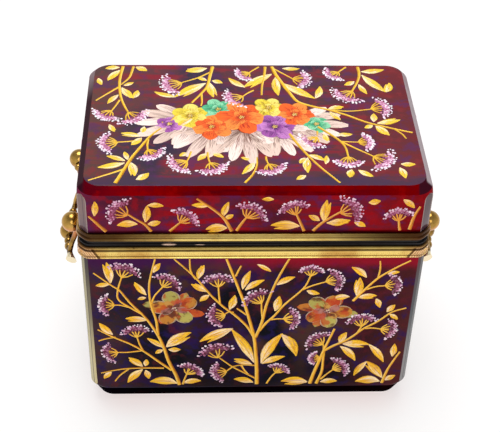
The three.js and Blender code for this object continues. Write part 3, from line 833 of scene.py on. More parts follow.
def throughPoints(points, steps):
    # a smooth path through the points
    padded = [points[0] * 2 - points[1]] + points + [points[-1] * 2 - points[-2]]
    path = []
    for a, b, c, d in zip(padded, padded[1:], padded[2:], padded[3:]):
        for i in range(steps):
            t = i / steps
            path.append(0.5 * (2 * b + (c - a) * t + (2 * a - 5 * b + 4 * c - d) * t ** 2
                               + (3 * b - a - 3 * c + d) * t ** 3))
    return path + [points[-1]]


def bail(name, side):
    # one casting: a turned grip that bows out and down, and an arm up to each ball
    h = handle
    drop, neckIn = -h["gripDrop"], -h["neckIn"]

    def bow(y):
        share = 1 - (y / h["gripHalf"]) ** 2
        droop = max(0, abs(y) - h["tipFrom"]) / (h["gripHalf"] - h["tipFrom"])  # the feet turn down a little
        return Vector((h["gripOut"] + h["bowOut"] * share, y,
                       drop - h["bowDown"] * share - h["tipBend"] * droop ** 2))

    half = gripProfile()
    places, radii = zip(*[(-along, radius) for along, radius in half[::-1]] + half[1:])
    across = Vector((h["bowDown"], 0, h["bowOut"])).normalized()
    points = sweepPoints([bow(along) for along in places], radii, across, h["sides"])
    # darker in the necks between the knops, as grime and painted shade
    grimeAndShade = flattened([[0.55 if radius < h["gripNeck"] + 0.12 else 0] * h["sides"] for radius in radii])
    parts = [(points, len(radii), h["sides"], grimeAndShade)]
    for end in (-1, 1):
        y = end * h["armY"]
        foot = bow(y)
        path = throughPoints([Vector((x, y, drop * share)) for x, share in (
            (0, 0), (neckIn, 0.27), (neckIn * 0.4, 0.55), (foot.x * 0.55, 0.8))] + [foot], 7)
        arm = sweepPoints(path, [h["armRadius"]] * len(path), Vector((0, 1, 0)), h["armSides"])
        parts.append((arm, len(path), h["armSides"], 0.15))
        turns = [math.pi * i / 12 for i in range(13)]
        knuckle = [(max(0.02, h["shoulder"] * math.sin(turn)), -h["shoulder"] * math.cos(turn)) for turn in turns]
        centre = (0, y - end * (h["shoulder"] - h["armRadius"]), 0)
        parts.append((turnedPoints(knuckle, h["shoulderSides"], "Y", centre), 13, h["shoulderSides"], 0.1))
        pin = [(h["gudgeon"], place) for place in sorted((y, end * h["gudgeonTip"]))]
        parts.append((turnedPoints(pin, h["armSides"], "Y", (0, 0, 0)), 2, h["armSides"], 0.5))
    return casting(name, side, parts)


enamel = {  # brush strokes and dots of raised paint, laid out in millimetres on each flat side
    "sink": 0.05, "arcPoints": 5, "dotRise": 0.3, "stemBase": 0.26, "stemScale": 0.68, "twig": 0.42,
    "pedicel": 0.4, "umbelScale": 0.84, "leafScale": 1.1, "forked": 0.45, "thinnest": 0.05,
    # each kind of stroke has its rise, and the number that the paint knows it by
    "kinds": {"dab": (0.032, 3), "amber": (0.032, 1.9), "petal": (0.032, 2), "bloom": (0.032, 2.2),
              "leaf": (0.1, 1), "stem": (0.32, 0)},
}
umbelShape = {
    # crescents behind the dots: tones, spread, and reach and width for a size of 1, and lift
    "crescents": (("under", 0.9, 0.54, 0.16, 0.05), ("blossom", 1.02, 0.8, 0.19, 0.07)),
    "stalks": (5, 6), "fan": 1.75, "shake": 0.1, "reach": (0.54, 0.7), "widths": (1, 0.9, 0.75), "lift": 0.05,
    # rows of dots: how many, how far out, how widely spread, how large, and which of the palette's dot colours
    "rows": ((6, 0.64, 0.75, 0.55, (2,)), (9, 0.75, 0.95, 0.64, (1, 2)), (11, 0.87, 1.05, 0.64, (0, 1, 2)),
             (12, 0.97, 1.12, 0.62, (0, 3, 4)), (13, 1.06, 1.16, 0.58, (3, 4, 5))),
}
palettes = {  # each pair is a colour and the shade beside it, and the last three dots are those of the pale rim
    "front": {
        "stem": ((234, 176, 40), (162, 84, 8)), "leaf": ((232, 166, 12), (252, 228, 196)),
        "pedicel": ((236, 184, 50), (180, 100, 14)), "under": ((66, 10, 22), (92, 20, 36)),
        "blossom": ((86, 22, 46), (136, 60, 94)),
        "dots": ((214, 156, 184), (168, 92, 126), (108, 34, 62), (234, 206, 218), (206, 158, 188), (242, 228, 232)),
    },
    "lidFront": {
        "stem": ((216, 138, 32), (138, 60, 10)), "leaf": ((224, 154, 24), (246, 206, 156)),
        "pedicel": ((224, 148, 40), (170, 86, 14)), "under": ((92, 4, 14), (116, 14, 30)),
        "blossom": ((122, 30, 62), (160, 78, 114)),
        "dots": ((206, 136, 166), (176, 92, 128), (138, 48, 84), (228, 188, 206), (210, 156, 184), (240, 214, 224)),
    },
    "top": {
        "stem": ((234, 188, 40), (176, 114, 14)), "leaf": ((234, 198, 56), (255, 247, 222)),
        "pedicel": ((230, 184, 40), (186, 124, 18)), "under": ((92, 30, 56), (134, 56, 92)),
        "blossom": ((158, 76, 112), (226, 172, 202)),
        "dots": ((248, 222, 238), (238, 190, 218), (196, 116, 158), (250, 240, 250), (246, 226, 242), (252, 250, 252)),
    },
}
profiles = {  # half widths along a stroke, from its foot to its tip
    "leaf": (0.12, 0.42, 0.76, 0.97, 1, 0.88, 0.64, 0.33, 0.04),
    "petal": (0.4, 0.62, 0.82, 0.95, 1.02, 1.04, 0.96, 0.76, 0.34),
    "lily": (0.2, 0.42, 0.66, 0.86, 1, 1.06, 1.02, 0.84, 0.4),
}


def away(u, v, turn, reach):
    return u + math.cos(turn) * reach, v + math.sin(turn) * reach


class Panel:
    # one flat side of the casket, and the sprays on it; u and v are millimetres along and up it
    def __init__(self, side, palette, seed):
        self.origin, self.across, self.up, self.out = (Vector(v) for v in panelFrames[side])
        self.palette, self.chance = palettes[palette], random.Random(seed)
        self.strokes, self.dots = [], []

    def place(self, u, v, lift):
        return self.origin + self.across * u + self.up * v + self.out * lift

    def shade(self, tone, spread=0.08):
        share = 1 + self.chance.uniform(-spread, spread)
        return (*(min(1, c * share) for c in colour(tone)[:3]), 1)

    def brush(self, kind, points, widths, tones, lift=0.0):
        self.strokes.append({
            "kind": kind, "points": [self.place(u, v, lift - enamel["sink"]) for u, v in points], "widths": widths,
            "first": self.shade(tones[0]), "second": self.shade(tones[1]), "side": self.chance.choice((-1, 1))})

    def dot(self, u, v, size, tone, lift):
        self.dots.append((self.place(u, v, lift), size, self.shade(tone, 0.12)))

    def stem(self, thick, *points):
        # a tapering line through the points
        path = throughPoints([Vector(point) for point in points], 4)
        thick = enamel["stemBase"] + enamel["stemScale"] * thick
        thin = max(enamel["twig"], thick * 0.6)
        widths = [thick + (thin - thick) * i / (len(path) - 1) for i in range(len(path))]
        self.brush("stem", path, widths, self.palette["stem"])

    def arc(self, u, v, heading, spread, reach, width, tones, lift, count=12):
        points = [away(u, v, heading + spread * (2 * i / count - 1), reach) for i in range(count + 1)]
        widths = [max(0.08, width * math.sin(math.pi * (i + 0.5) / (count + 1)) ** 0.6) for i in range(count + 1)]
        self.brush("dab", points, widths, tones, lift)

    def umbel(self, u, v, heading, size):
        # a fan of stalks from one place, with a crescent of blossom round it
        shape, chance, palette, heading = umbelShape, self.chance, self.palette, math.radians(heading)
        for tones, spread, reach, width, lift in shape["crescents"]:
            self.arc(u, v, heading, spread, size * reach, size * width, palette[tones], lift)
        stalks, widths = chance.randint(*shape["stalks"]), [enamel["pedicel"] * share for share in shape["widths"]]
        for i in range(stalks):
            turn = (i / (stalks - 1) - 0.5) * shape["fan"] + chance.uniform(-shape["shake"], shape["shake"])
            reach = size * chance.uniform(*shape["reach"])
            bend, tip = away(u, v, heading + turn * 1.2, reach * 0.5), away(u, v, heading + turn, reach)
            self.brush("stem", [(u, v), bend, tip], widths, palette["pedicel"], shape["lift"])
        for count, reach, spread, radius, picks in shape["rows"]:
            for i in range(count):
                turn = heading + spread * (2 * (i + chance.uniform(-0.4, 0.4)) / (count - 1) - 1)
                place = away(u, v, turn, size * (reach + chance.uniform(-0.05, 0.05)))
                self.dot(*place, radius * chance.uniform(0.65, 1.25), palette["dots"][chance.choice(picks)], 0.03)

    def leaf(self, u, v, tipU, tipV, width, bend, tones=None, kind="leaf", lift=0.02, shape="leaf"):
        # one stroke from foot to tip, bent into an arc
        direct, chord = math.atan2(tipV - v, tipU - u), math.hypot(tipU - u, tipV - v)
        length = chord * bend / 2 / math.sin(bend / 2) if bend else chord
        steps, points = len(profiles[shape]) - 1, [(u, v)]
        for i in range(steps):
            points.append(away(*points[-1], direct - bend / 2 + bend * (i + 0.5) / steps, length / steps))

        def widths(share):
            return [max(enamel["thinnest"], width * share * part) for part in profiles[shape]]

        if kind != "leaf":
            return self.brush(kind, points, widths(1), tones, lift)
        width, tones = width * enamel["leafScale"], self.palette["leaf"]
        self.brush(kind, points, widths(1), tones, lift)
        if self.chance.random() < enamel["forked"]:
            turn, reach = direct + self.chance.choice((-0.14, 0.14)), chord * self.chance.uniform(0.84, 0.96)
            side = [away(u, v, turn, reach * i / steps) for i in range(steps + 1)]
            self.brush(kind, side, widths(0.56), tones, lift + 0.01)

    def sprays(self, layout, shift=0.0, low=-1.0, high=999.0, mirror=None):
        # the stems, umbels and leaves of a layout, or of a part of it, moved along or turned round
        def along(u):
            return mirror - u if mirror else u + shift

        def held(*places):
            return all(low <= u <= high for u in places)

        for thick, *points in layout["stems"]:
            if held(*[u for u, v in points]):
                self.stem(thick, *[(along(u), v) for u, v in points])
        for u, v, tipU, tipV, width, bend in layout["leaves"]:
            if held(u, tipU):
                self.leaf(along(u), v, along(tipU), tipV, width, -bend if mirror else bend)
        for u, v, heading, size in layout["umbels"]:
            if held(u):
                self.umbel(along(u), v, 180 - heading if mirror else heading, size * enamel["umbelScale"])


# In each layout a stem has its half width and the points it goes through, a leaf its foot, tip,
# half width and bend, and an umbel its foot, heading in degrees and size.
frontLayout = {
    "stems": [
        (1.15, (36, 0.3), (34.3, 7), (31.2, 16), (29.2, 25), (26.6, 33), (23, 41), (20, 46)),
        (0.6, (20, 46), (15, 53), (11, 60), (7.5, 63.2), (0.4, 70.3)),
        (0.6, (20, 46), (15, 50), (10.4, 54.5), (10.2, 60), (12.2, 67.8)), (0.42, (15, 50), (11, 51.3), (8.3, 51.5)),
        (0.75, (26.8, 33), (26.2, 42), (24.4, 50), (23.6, 58), (24, 66), (26.5, 78)),
        (0.45, (24.3, 52), (26, 57), (29.5, 62)),
        (0.75, (32.5, 10), (27, 15.5), (20, 22.7), (14, 27.5), (7, 31.7), (0.4, 36.5)),
        (0.42, (20, 22.7), (18.5, 27), (17.5, 31.5)), (0.42, (19.5, 23), (13, 22), (8.5, 22)),
        (0.55, (29, 11.5), (20, 11.7), (10, 11), (0.4, 8.5)), (0.42, (13, 11), (9, 7), (6.5, 3)),
        (0.42, (8, 31.8), (3, 30.5), (0.4, 29.3)), (0.5, (37.5, 0.5), (38.3, 4), (39.5, 7.5)),
        (1.2, (71.5, 0.3), (71.2, 10), (70.5, 20), (69.5, 30), (67, 42), (64.5, 52), (61.5, 62), (56.5, 78)),
        (0.75, (69.8, 30), (66, 38), (60, 45.5), (55.5, 50), (50, 57), (45, 65), (40.5, 71), (34.5, 78)),
        (0.45, (43.5, 66.5), (41.4, 71), (41, 78)), (0.42, (54, 52.3), (53.5, 57), (53.2, 62)),
        (0.5, (60, 46.5), (58, 47), (56, 45.5)), (0.5, (65.7, 45), (63, 47.5), (61.3, 49)),
        (0.45, (60.5, 68), (61.5, 71), (62.7, 74)),
        (0.9, (70, 31), (71.8, 37), (73, 43), (74, 50), (75.7, 57), (78, 65), (80.5, 72), (83, 78)),
        (0.7, (71.6, 35), (74.5, 40), (78, 44.5), (82, 51), (87, 57), (90.5, 62), (92.6, 68.5)),
        (0.42, (89.5, 60), (94, 62.5), (99.3, 64.5)), (0.4, (75.5, 41.7), (79, 42.3), (82, 42.3)),
        (0.45, (72.8, 42), (72.2, 48), (72, 52)), (0.55, (71, 4), (65.5, 8), (60, 12), (53.5, 18.5)),
        (0.4, (60, 12), (58.5, 10.3), (57, 9)), (0.45, (71, 12.6), (65, 13.2), (59.5, 12)),
        (0.5, (64, 12.8), (65.5, 9.5), (68, 6)), (0.45, (76, 0.5), (78, 5), (81, 9.3)),
        (1.1, (96, 0.3), (97.6, 8), (99.6, 16), (101.3, 23), (103, 29), (105, 36)),
        (0.95, (99, 0.3), (101, 8), (101.2, 16), (101.3, 22)),
        (0.8, (101.3, 22), (105, 25), (110, 28), (114, 31.7), (118, 36), (124, 40.5), (129.5, 46), (135.6, 48.5)),
        (0.45, (115, 32.5), (116, 35), (117, 37.6)), (0.42, (118.6, 36), (122, 36.2), (125.6, 35.5)),
        (0.42, (101, 23), (100.8, 25), (100.3, 27)), (0.4, (99.8, 16), (99.4, 16.6), (98.8, 17.2)),
        (0.42, (100.8, 3), (103.5, 6.5), (106, 9.3)),
        (0.8, (111.8, 53), (114.5, 57), (118, 62), (122, 67), (128, 72), (134.5, 76.5)),
        (0.4, (121.5, 66.5), (121.9, 72), (121.5, 76.5)), (0.42, (117, 59.8), (121, 61.5), (125, 62)),
        (0.85, (129.5, 0.3), (131, 8), (133, 14), (135.8, 21)),
    ],
    "leaves": [
        (7.3, 64, 6, 77, 1.75, 0.2), (7, 63.5, 0.4, 62.6, 1.3, 0.4), (22.5, 57, 17.2, 65.5, 1.5, -0.3),
        (22.5, 55.7, 18, 54.5, 1, 0.4), (25.5, 70, 29, 76, 1.35, -0.4), (22.5, 42, 12, 43, 1.4, 0.5),
        (7, 33, 1, 41, 1.7, -0.3), (29, 24.5, 21.2, 31.2, 1.4, 0.3), (30.2, 25, 42, 34.5, 2.3, -0.7),
        (31, 23.6, 37, 23.6, 1.5, 0.3), (29, 23.5, 25, 20.8, 1.2, 0.3), (19.5, 12.3, 12.8, 18.8, 1.7, 0.3),
        (20.6, 12.6, 21.2, 17.6, 1.3, 0.2), (19.5, 10.8, 12, 1.4, 1.9, 0.4), (20.5, 10.4, 22, 4, 1.5, -0.3),
        (5.4, 9.2, 1.4, 4.4, 1.4, 0.4), (35, 1, 22, 2.2, 2.5, 0.9), (37.5, 1.2, 46.3, 2.6, 1.7, -0.7),
        (44.4, 66.3, 47.3, 75, 1.6, -0.3), (49, 59, 41, 64, 1.5, -0.2), (49.5, 57.2, 45, 53, 1.4, 0.4),
        (58, 48, 60.4, 57.5, 1.8, 0.3), (63.5, 60, 67, 71.8, 1.6, -0.3), (64.5, 59.5, 73.5, 66, 1.6, -0.6),
        (78, 62.5, 86.4, 67.6, 1.6, -0.6), (78, 47, 79.6, 56.7, 1.9, 0.2), (69, 75, 76, 70, 1.1, -0.3),
        (69.8, 14.5, 58.6, 37, 2.3, 0.25), (60, 36.6, 44.6, 27.8, 2.1, 0.45), (73, 14, 82.5, 33.8, 2.5, -0.5),
        (81, 33, 88.8, 18, 2.4, -0.75), (73.2, 13.6, 84.3, 18.6, 1.8, -0.5), (69.4, 12.8, 60, 17.3, 1.5, 0.3),
        (70, 1.2, 60.3, 3.6, 1.8, 0.6), (95, 1.2, 82, 1.6, 2, 0.9), (100.5, 1.2, 109, 1.6, 1.7, -0.6),
        (91, 59.6, 97.4, 57.4, 1.4, 0.4), (110.3, 55.6, 101.8, 53.4, 1.7, 0.7), (113, 56, 113.6, 67.4, 2, 0.3),
        (113.5, 55, 122.6, 56, 1.4, -0.5), (121.6, 54.6, 124, 48.4, 1.4, -0.3), (116.6, 66.6, 109, 73.2, 1.6, 0.6),
        (125, 68.6, 131, 70, 1.1, -0.5), (127.2, 46, 130.8, 50.8, 1.5, -0.3), (128.3, 45, 132.8, 41, 1.2, -0.4),
        (107.6, 27, 110.8, 34, 1.7, -0.3), (109, 26.2, 122, 25.4, 1.8, -0.7), (120.8, 26.2, 129.2, 13.4, 1.7, -0.4),
        (108, 25, 116, 14.6, 1.8, -0.6), (129.4, 3.5, 120.6, 15.4, 2, 0.3), (121.6, 15, 115.8, 4.6, 1.6, 0.5),
        (128.4, 1.2, 116.6, 1.2, 2.5, 0.9), (130.6, 1.8, 135.6, 5.4, 1.6, -0.4), (132.4, 17.6, 132.8, 26.6, 1.6, 0.2),
    ],
    "umbels": [
        (12.2, 67.6, 68, 9.2), (8.3, 51.5, 180, 8), (29.5, 62, 55, 8.4), (17.5, 31.5, 98, 8.4), (8.5, 22, 188, 7.8),
        (39.5, 7.2, 55, 8), (53.2, 61.8, 92, 8.6), (56.2, 45.2, 192, 8.8), (92.6, 68, 86, 6.8), (99.3, 64.5, 18, 8.6),
        (82, 42.3, 2, 8.2), (72, 52, 128, 9.2), (53.5, 18, 108, 10.4), (57.4, 9, 192, 8.2), (80.2, 7.6, 62, 6.8),
        (117, 37.4, 98, 8.6), (125.6, 35.5, -4, 8), (100.3, 26, 136, 8.8), (99.4, 17, 172, 5.6), (106, 9.5, 32, 8.4),
        (125, 62, 12, 8.2),
    ],
}
topLayout = {
    "stems": [
        (0.85, (11.3, 85.7), (10.5, 78), (10.4, 70), (11.5, 61), (13.3, 54.5), (15, 50)),
        (0.7, (16, 85.7), (14.6, 77), (11, 71)), (0.6, (10, 69), (5, 63.5), (0.6, 58.6)),
        (0.42, (11, 59), (9.2, 54), (8, 51)), (1, (52, 85.7), (50.7, 78), (49.4, 70), (46.6, 64), (42.5, 57)),
        (0.5, (46.8, 64), (47, 58), (46.6, 54.5)), (0.5, (50.5, 81), (45, 76.5), (38, 72.8)),
        (1.05, (12, 0.5), (15, 9), (18, 17.5), (22, 26), (25.3, 32.5), (29.5, 38)),
        (0.6, (15.5, 10), (9, 6.5), (1, 2.4)), (0.42, (21.5, 30), (17, 28.7), (11.8, 28.2)),
        (0.5, (24.3, 30), (24, 26), (24.3, 22.6)), (0.5, (37, 49.5), (34, 44), (32, 40.5)),
        (0.45, (42.4, 21.5), (41.4, 17.5), (40.6, 15)), (0.45, (49.2, 21), (49.4, 17), (50, 13.8)),
        (0.6, (64, 0.5), (67.4, 6), (69.3, 12), (69.5, 17.6)), (0.8, (76, 85.7), (75.2, 78), (74, 71), (73.4, 63)),
        (1.1, (79, 85.7), (80.6, 79), (83, 72.5), (85.6, 65.5), (89, 58), (95, 54.4),
         (102, 51.7), (110, 47.5), (118, 42.3), (128, 38), (136.8, 34.8)), (0.5, (80, 84), (84, 80), (88, 76)),
        (0.42, (73, 85.7), (71, 83.6), (68.5, 81)), (0.5, (113, 85.7), (111, 83.6), (109.2, 81.6)),
        (0.9, (118.5, 85.7), (118.5, 79), (116.6, 72.4), (114, 66.4)), (0.42, (104, 51.2), (112, 50.7), (121, 52.2)),
        (0.42, (129, 37.8), (132, 34), (133.5, 30.6)),
        (0.8, (96.5, 39), (101, 34), (105, 29), (107, 24), (107.5, 18)), (0.5, (106, 28), (112, 23), (118, 18.2)),
        (0.4, (105.2, 28.6), (109, 28.2), (112.6, 28)),
        (0.85, (84, 34), (86.4, 28), (90.4, 19.5), (95.2, 11), (102.5, 0.5)),
        (0.42, (96, 36), (95.8, 33.6), (95.5, 31.6)), (0.42, (73.2, 18), (73.4, 15.4), (74, 13)),
        (0.42, (70, 66.8), (67.4, 64.6), (65, 62)),
    ],
    "leaves": [
        (10, 85, 3, 84, 1.7, 0.3), (10.4, 83, 4.8, 73.8, 1.8, 0.3), (17, 85.4, 22.6, 82, 1.8, -0.3),
        (12, 70.3, 17, 73.2, 1.2, 0.3), (11.5, 69, 17.6, 60, 1.8, 0.4), (17.2, 60.6, 18.6, 67, 1.5, 0.4),
        (10.6, 63.4, 5.6, 55.6, 1.4, 0.3), (0.8, 76.5, 2.8, 70.5, 1.3, 0.4), (7.4, 41, 10.4, 35, 1.2, 0.3),
        (22.4, 39.4, 22, 33.6, 1.4, 0.2), (21.6, 32, 12, 34.6, 1.4, 0.3), (21.6, 31.4, 17, 25.8, 1.6, -0.3),
        (15.6, 15, 6.8, 18.8, 1.4, 0.3), (16.3, 15.6, 14.4, 22, 1.2, 0.2), (15.4, 14, 3.6, 10.8, 1.8, -0.3),
        (17.4, 14.5, 19.6, 4.6, 1.8, -0.3), (20, 2.8, 25.4, 7.4, 1.8, 0.6), (49.6, 84.6, 39.4, 82, 2.1, -0.3),
        (49.6, 74.2, 44.4, 77, 1.2, 0.3), (51.4, 74.4, 56.6, 72.2, 1.5, -0.4), (50.6, 73, 52.4, 60.6, 1.7, 0.4),
        (49, 72.4, 34.6, 61, 2.3, 0.3), (36, 61.4, 25.4, 66, 1.5, -0.5), (45, 46.4, 34.6, 38, 2, 0.2),
        (35.4, 38, 27, 46, 1.4, -0.4), (41, 20.6, 37.2, 18.2, 1.3, 0.3), (49, 20.4, 44.8, 15, 1.5, 0.2),
        (50.6, 20.4, 56.2, 17.2, 1.3, -0.3), (68.8, 14.6, 62.6, 5.8, 1.6, -0.2), (67.6, 15.4, 62.4, 17.6, 1.1, 0.3),
        (79, 80, 65, 68.6, 2.1, 0.2), (66.6, 69, 58.8, 77.2, 1.7, -0.5), (83.4, 84.6, 92.4, 84.4, 1.4, 0.3),
        (80.6, 78, 81, 62, 2, 0.3), (83.4, 72.4, 97.6, 60, 2.3, 0.2), (97, 60.4, 99.8, 70.6, 1.7, 0.6),
        (116, 74.2, 110.6, 70.8, 1.5, -0.3), (117.5, 72, 120.8, 63.4, 1.4, 0.3), (119.4, 82, 131, 84, 1.9, 0.4),
        (119.6, 79.4, 129.6, 65, 2.2, 0.2), (129, 65.4, 131.4, 73.4, 1.7, 0.8), (102, 52.4, 109.6, 54, 1.5, -0.4),
        (102.5, 50.6, 107.2, 43.8, 1.5, 0.3), (121, 42.6, 121.6, 49.4, 1.6, 0.2), (122, 41.6, 133.4, 44.6, 1.7, 0.3),
        (120.4, 40.6, 116.2, 38.2, 1.4, -0.3), (121.5, 40.2, 127, 32.6, 2, 0.2), (104, 33.8, 111.4, 33.8, 1.4, 0.4),
        (98.8, 34.6, 100, 27.4, 1.3, 0.3), (91, 19.4, 98, 15, 1.5, -0.3), (97.6, 12.6, 98.4, 19.4, 1.2, 0.4),
        (90.6, 17.6, 90, 6.6, 1.8, 0.3), (89.8, 17.4, 86.8, 13, 1.2, 0.3), (89.2, 5.4, 84.8, 2.4, 1.4, 0.3),
        (108.2, 9.4, 106.8, 3.8, 1.7, 0.3), (110.6, 9.2, 117, 4.4, 1.5, 0.3), (128.6, 13, 135.4, 13, 1.5, 0.4),
        (128, 10.8, 129.6, 3, 1.6, -0.3),
    ],
    "umbels": [
        (15, 49.5, -52, 10), (7.6, 51, -122, 8.8), (38, 72.4, 200, 11), (11.5, 28, 186, 9.4), (24.3, 22.8, -58, 8),
        (40.6, 15, 216, 9.2), (50, 13.8, -66, 8.8), (88, 76, -12, 9.4), (68.5, 81, 218, 7.4), (109.2, 81.6, 216, 7.6),
        (114, 66.2, -130, 10.4), (121, 52.4, 12, 10.2), (107.5, 17.8, -92, 8), (118, 18, -34, 10.6),
        (112.8, 28, 6, 7.6), (95.5, 31.6, -132, 8.6), (74, 13, -66, 8.4), (65, 62, 208, 9.6),
    ],
}
lidFrontLayout = {
    "stems": [
        (1, (7.5, 0.8), (4, 5), (0.8, 9)), (0.85, (26, 0.8), (23.5, 4.5), (20, 7.2), (16.4, 10.2)),
        (0.75, (33.5, 0.8), (36, 3.4), (38, 5.6)), (0.95, (59, 0.8), (55.5, 8), (50.2, 13.4), (44.6, 18)),
        (0.85, (61, 1), (63, 5), (65, 8.2)), (0.85, (88.8, 0.8), (87, 5.4), (85, 10.2)),
        (0.85, (92.5, 0.8), (96, 5), (100, 8.4), (103.4, 11)), (0.75, (128.5, 1), (127.9, 4), (127.5, 6.4)),
        (0.95, (132.5, 1.4), (133.6, 8), (135.6, 13.6)),
    ],
    "leaves": [
        (3, 8.6, 3.6, 17.2, 1.4, 0.3), (20.6, 4.6, 11.6, 3.8, 1.8, 0.6), (23.6, 5.4, 24.6, 15, 1.7, 0.2),
        (24.4, 14.4, 31.8, 14, 1.3, -0.5), (24.4, 4.6, 30.2, 6, 1.5, 0.4), (49.6, 14, 42, 14.6, 1.4, 0.3),
        (55, 8, 57.8, 16.8, 1.5, -0.3), (55.6, 7.4, 59.8, 9.8, 1.2, 0.3), (57.2, 2.4, 47.8, 1.4, 1.9, 0.8),
        (87, 3.2, 74.2, 3.6, 1.9, 0.6), (76, 17.4, 70.4, 17.4, 1.1, 0.4), (96.6, 5.4, 97.4, 17.8, 1.8, -0.3),
        (95, 6, 89.8, 9.2, 1.4, 0.3), (97.6, 5, 108, 6.6, 1.9, 0.3), (109, 5.4, 114.4, 2.8, 1.4, -0.3),
        (114, 15.8, 119.4, 16.8, 1.5, 0.3), (128, 17.4, 133.6, 12.4, 1.4, -0.4),
    ],
    "umbels": [
        (16.4, 9.4, 148, 9.6), (38, 5.4, 52, 8.2), (65, 7.8, 56, 9), (85, 9.4, 108, 8.2), (103.4, 10, 30, 10),
        (127.5, 6, 98, 7.4),
    ],
}
flowers = {
    "petalFoot": 0.6, "petalBend": 0.22, "petalShake": 0.08, "petalLengths": (0.92, 1.06), "heartLift": 0.16,
    # whorls of a rose: petals, length and half width for a size of 1, turn, lift, and the colours' order
    "whorls": ((6, 1, 0.42, 0, 0.03, 1), (5, 0.72, 0.34, 0.5, 0.07, -1), (5, 0.46, 0.24, 0.2, 0.11, 1)),
    "stamens": ((244, 200, 70), (250, 226, 130)), "roseHeart": (9, 0.4, 0.34),  # a heart's dots, step and dot size
    # lengths of a lily's petals for a size of 1
    "lily": (0.78, 0.92, 1.0, 1.04, 0.96, 0.8), "lilyWidth": 0.125, "lilyTurn": 21, "lilyBend": -0.12,
}


def whorl(panel, u, v, petals, length, width, turn, lift, tones, kind):
    f = flowers
    for i in range(petals):
        angle = turn + 2 * math.pi * i / petals + panel.chance.uniform(-f["petalShake"], f["petalShake"])
        tip = away(u, v, angle, length * panel.chance.uniform(*f["petalLengths"]))
        panel.leaf(*away(u, v, angle, f["petalFoot"]), *tip, width, f["petalBend"], tones[i % len(tones)], kind,
                   lift + (i % 3) * 0.02, "petal")


def stamens(panel, u, v, tones, count, apart, size):
    # a spiral of dots
    for i in range(count):
        panel.dot(*away(u, v, 2.4 * i, apart * math.sqrt(i)), size, tones[i % 2], flowers["heartLift"])


def rose(panel, u, v, size, tones):
    # three whorls of broad petals, each smaller than the one outside it, round a few stamens
    first = panel.chance.uniform(0, 1)
    for petals, length, width, turn, lift, order in flowers["whorls"]:
        whorl(panel, u, v, petals, size * length, size * width, first + turn, lift, tones[::order], "bloom")
    stamens(panel, u, v, flowers["stamens"], *flowers["roseHeart"])


def lily(panel, u, v, turn, size, tones):
    # long pale petals with streaks along them, open to one side
    for i, share in enumerate(flowers["lily"]):
        tip = away(u, v, math.radians(turn + (i - 2.5) * flowers["lilyTurn"]), size * share)
        panel.leaf(u, v, *tip, size * flowers["lilyWidth"], (i - 2.5) * flowers["lilyBend"], tones[i % len(tones)],
                   "petal", 0.01 + (i % 2) * 0.03, "lily")


amber = {
    "petals": (((150, 44, 2), (182, 118, 36)), ((98, 66, 14), (170, 158, 76)), ((128, 40, 4), (190, 126, 34))),
    "inner": (((100, 50, 44), (166, 108, 96)), ((126, 46, 6), (188, 136, 60))),
    "leaves": (((92, 66, 16), (164, 152, 76)), ((136, 44, 4), (182, 108, 32))),
    "heart": ((150, 92, 84), (226, 196, 160)),
    "leafPlaces": ((2.5, 17), (-0.7, 17), (0.6, 13.5), (-2.6, 13.5)), "leafWidth": 3.2, "leafBend": 0.5,
    # whorls: tones, turn, petals, length, half width and lift
    "whorls": (("petals", 0, 5, 10.4, 3.8, 0.05), ("inner", 0.6, 5, 5.8, 2.2, 0.11)), "heartDots": (7, 0.5, 0.5),
}


def amberSpray(panel, u, v, turn):
    # an open amber blossom between olive leaves
    for i, (angle, length) in enumerate(amber["leafPlaces"]):
        panel.leaf(u, v, *away(u, v, turn + angle, length), amber["leafWidth"], amber["leafBend"],
                   amber["leaves"][i % 2], "amber", 0.0)
    for tones, twist, petals, length, width, lift in amber["whorls"]:
        whorl(panel, u, v, petals, length, width, turn + twist, lift, amber[tones], "amber")
    stamens(panel, u, v, amber["heart"], *amber["heartDots"])


bouquetPlan = {
    # a leaf has its direction, length and tone, a lily its place, direction and size, a rose its place, size and tones
    "leaves": ((170, 52, 0), (161, 40, 1), (10, 50, 1), (19, 38, 0), (188, 44, 1), (-8, 44, 0)),
    "lilies": ((-22, 2, 196, 24), (-12, -3, 232, 23), (14, -3, 300, 22), (23, 1, 342, 22), (1, -4, 266, 24)),
    "roses": ((-22, 5, 8.8, "yellow"), (23, 6, 9.4, "orange"), (-10, 10, 7.6, "jade"), (12, 11, 7.6, "yellow"),
              (14, -3, 9.6, "violet"), (-13, -3, 9.2, "orange"), (0, 4, 11.6, "orange"), (32, -1, 6.4, "jade"),
              (-31, -1, 6.2, "violet")),
    "leafFoot": (4, 3), "leafWidth": 2.8, "leafBend": 0.12,
}
bouquetTones = {
    "cream": [((120, 76, 64), (236, 208, 196)), ((104, 68, 58), (226, 198, 184)), ((138, 94, 84), (242, 220, 210))],
    "sage": [((84, 110, 84), (216, 208, 184)), ((110, 96, 80), (228, 212, 194))],
    "orange": [((172, 30, 2), (236, 96, 24)), ((190, 48, 6), (240, 140, 56))],
    "yellow": [((150, 112, 10), (232, 208, 60)), ((180, 140, 26), (240, 222, 110))],
    "jade": [((8, 96, 66), (88, 188, 138)), ((30, 124, 84), (138, 208, 164))],
    "violet": [((70, 20, 84), (158, 80, 160)), ((96, 34, 108), (192, 122, 190))],
}

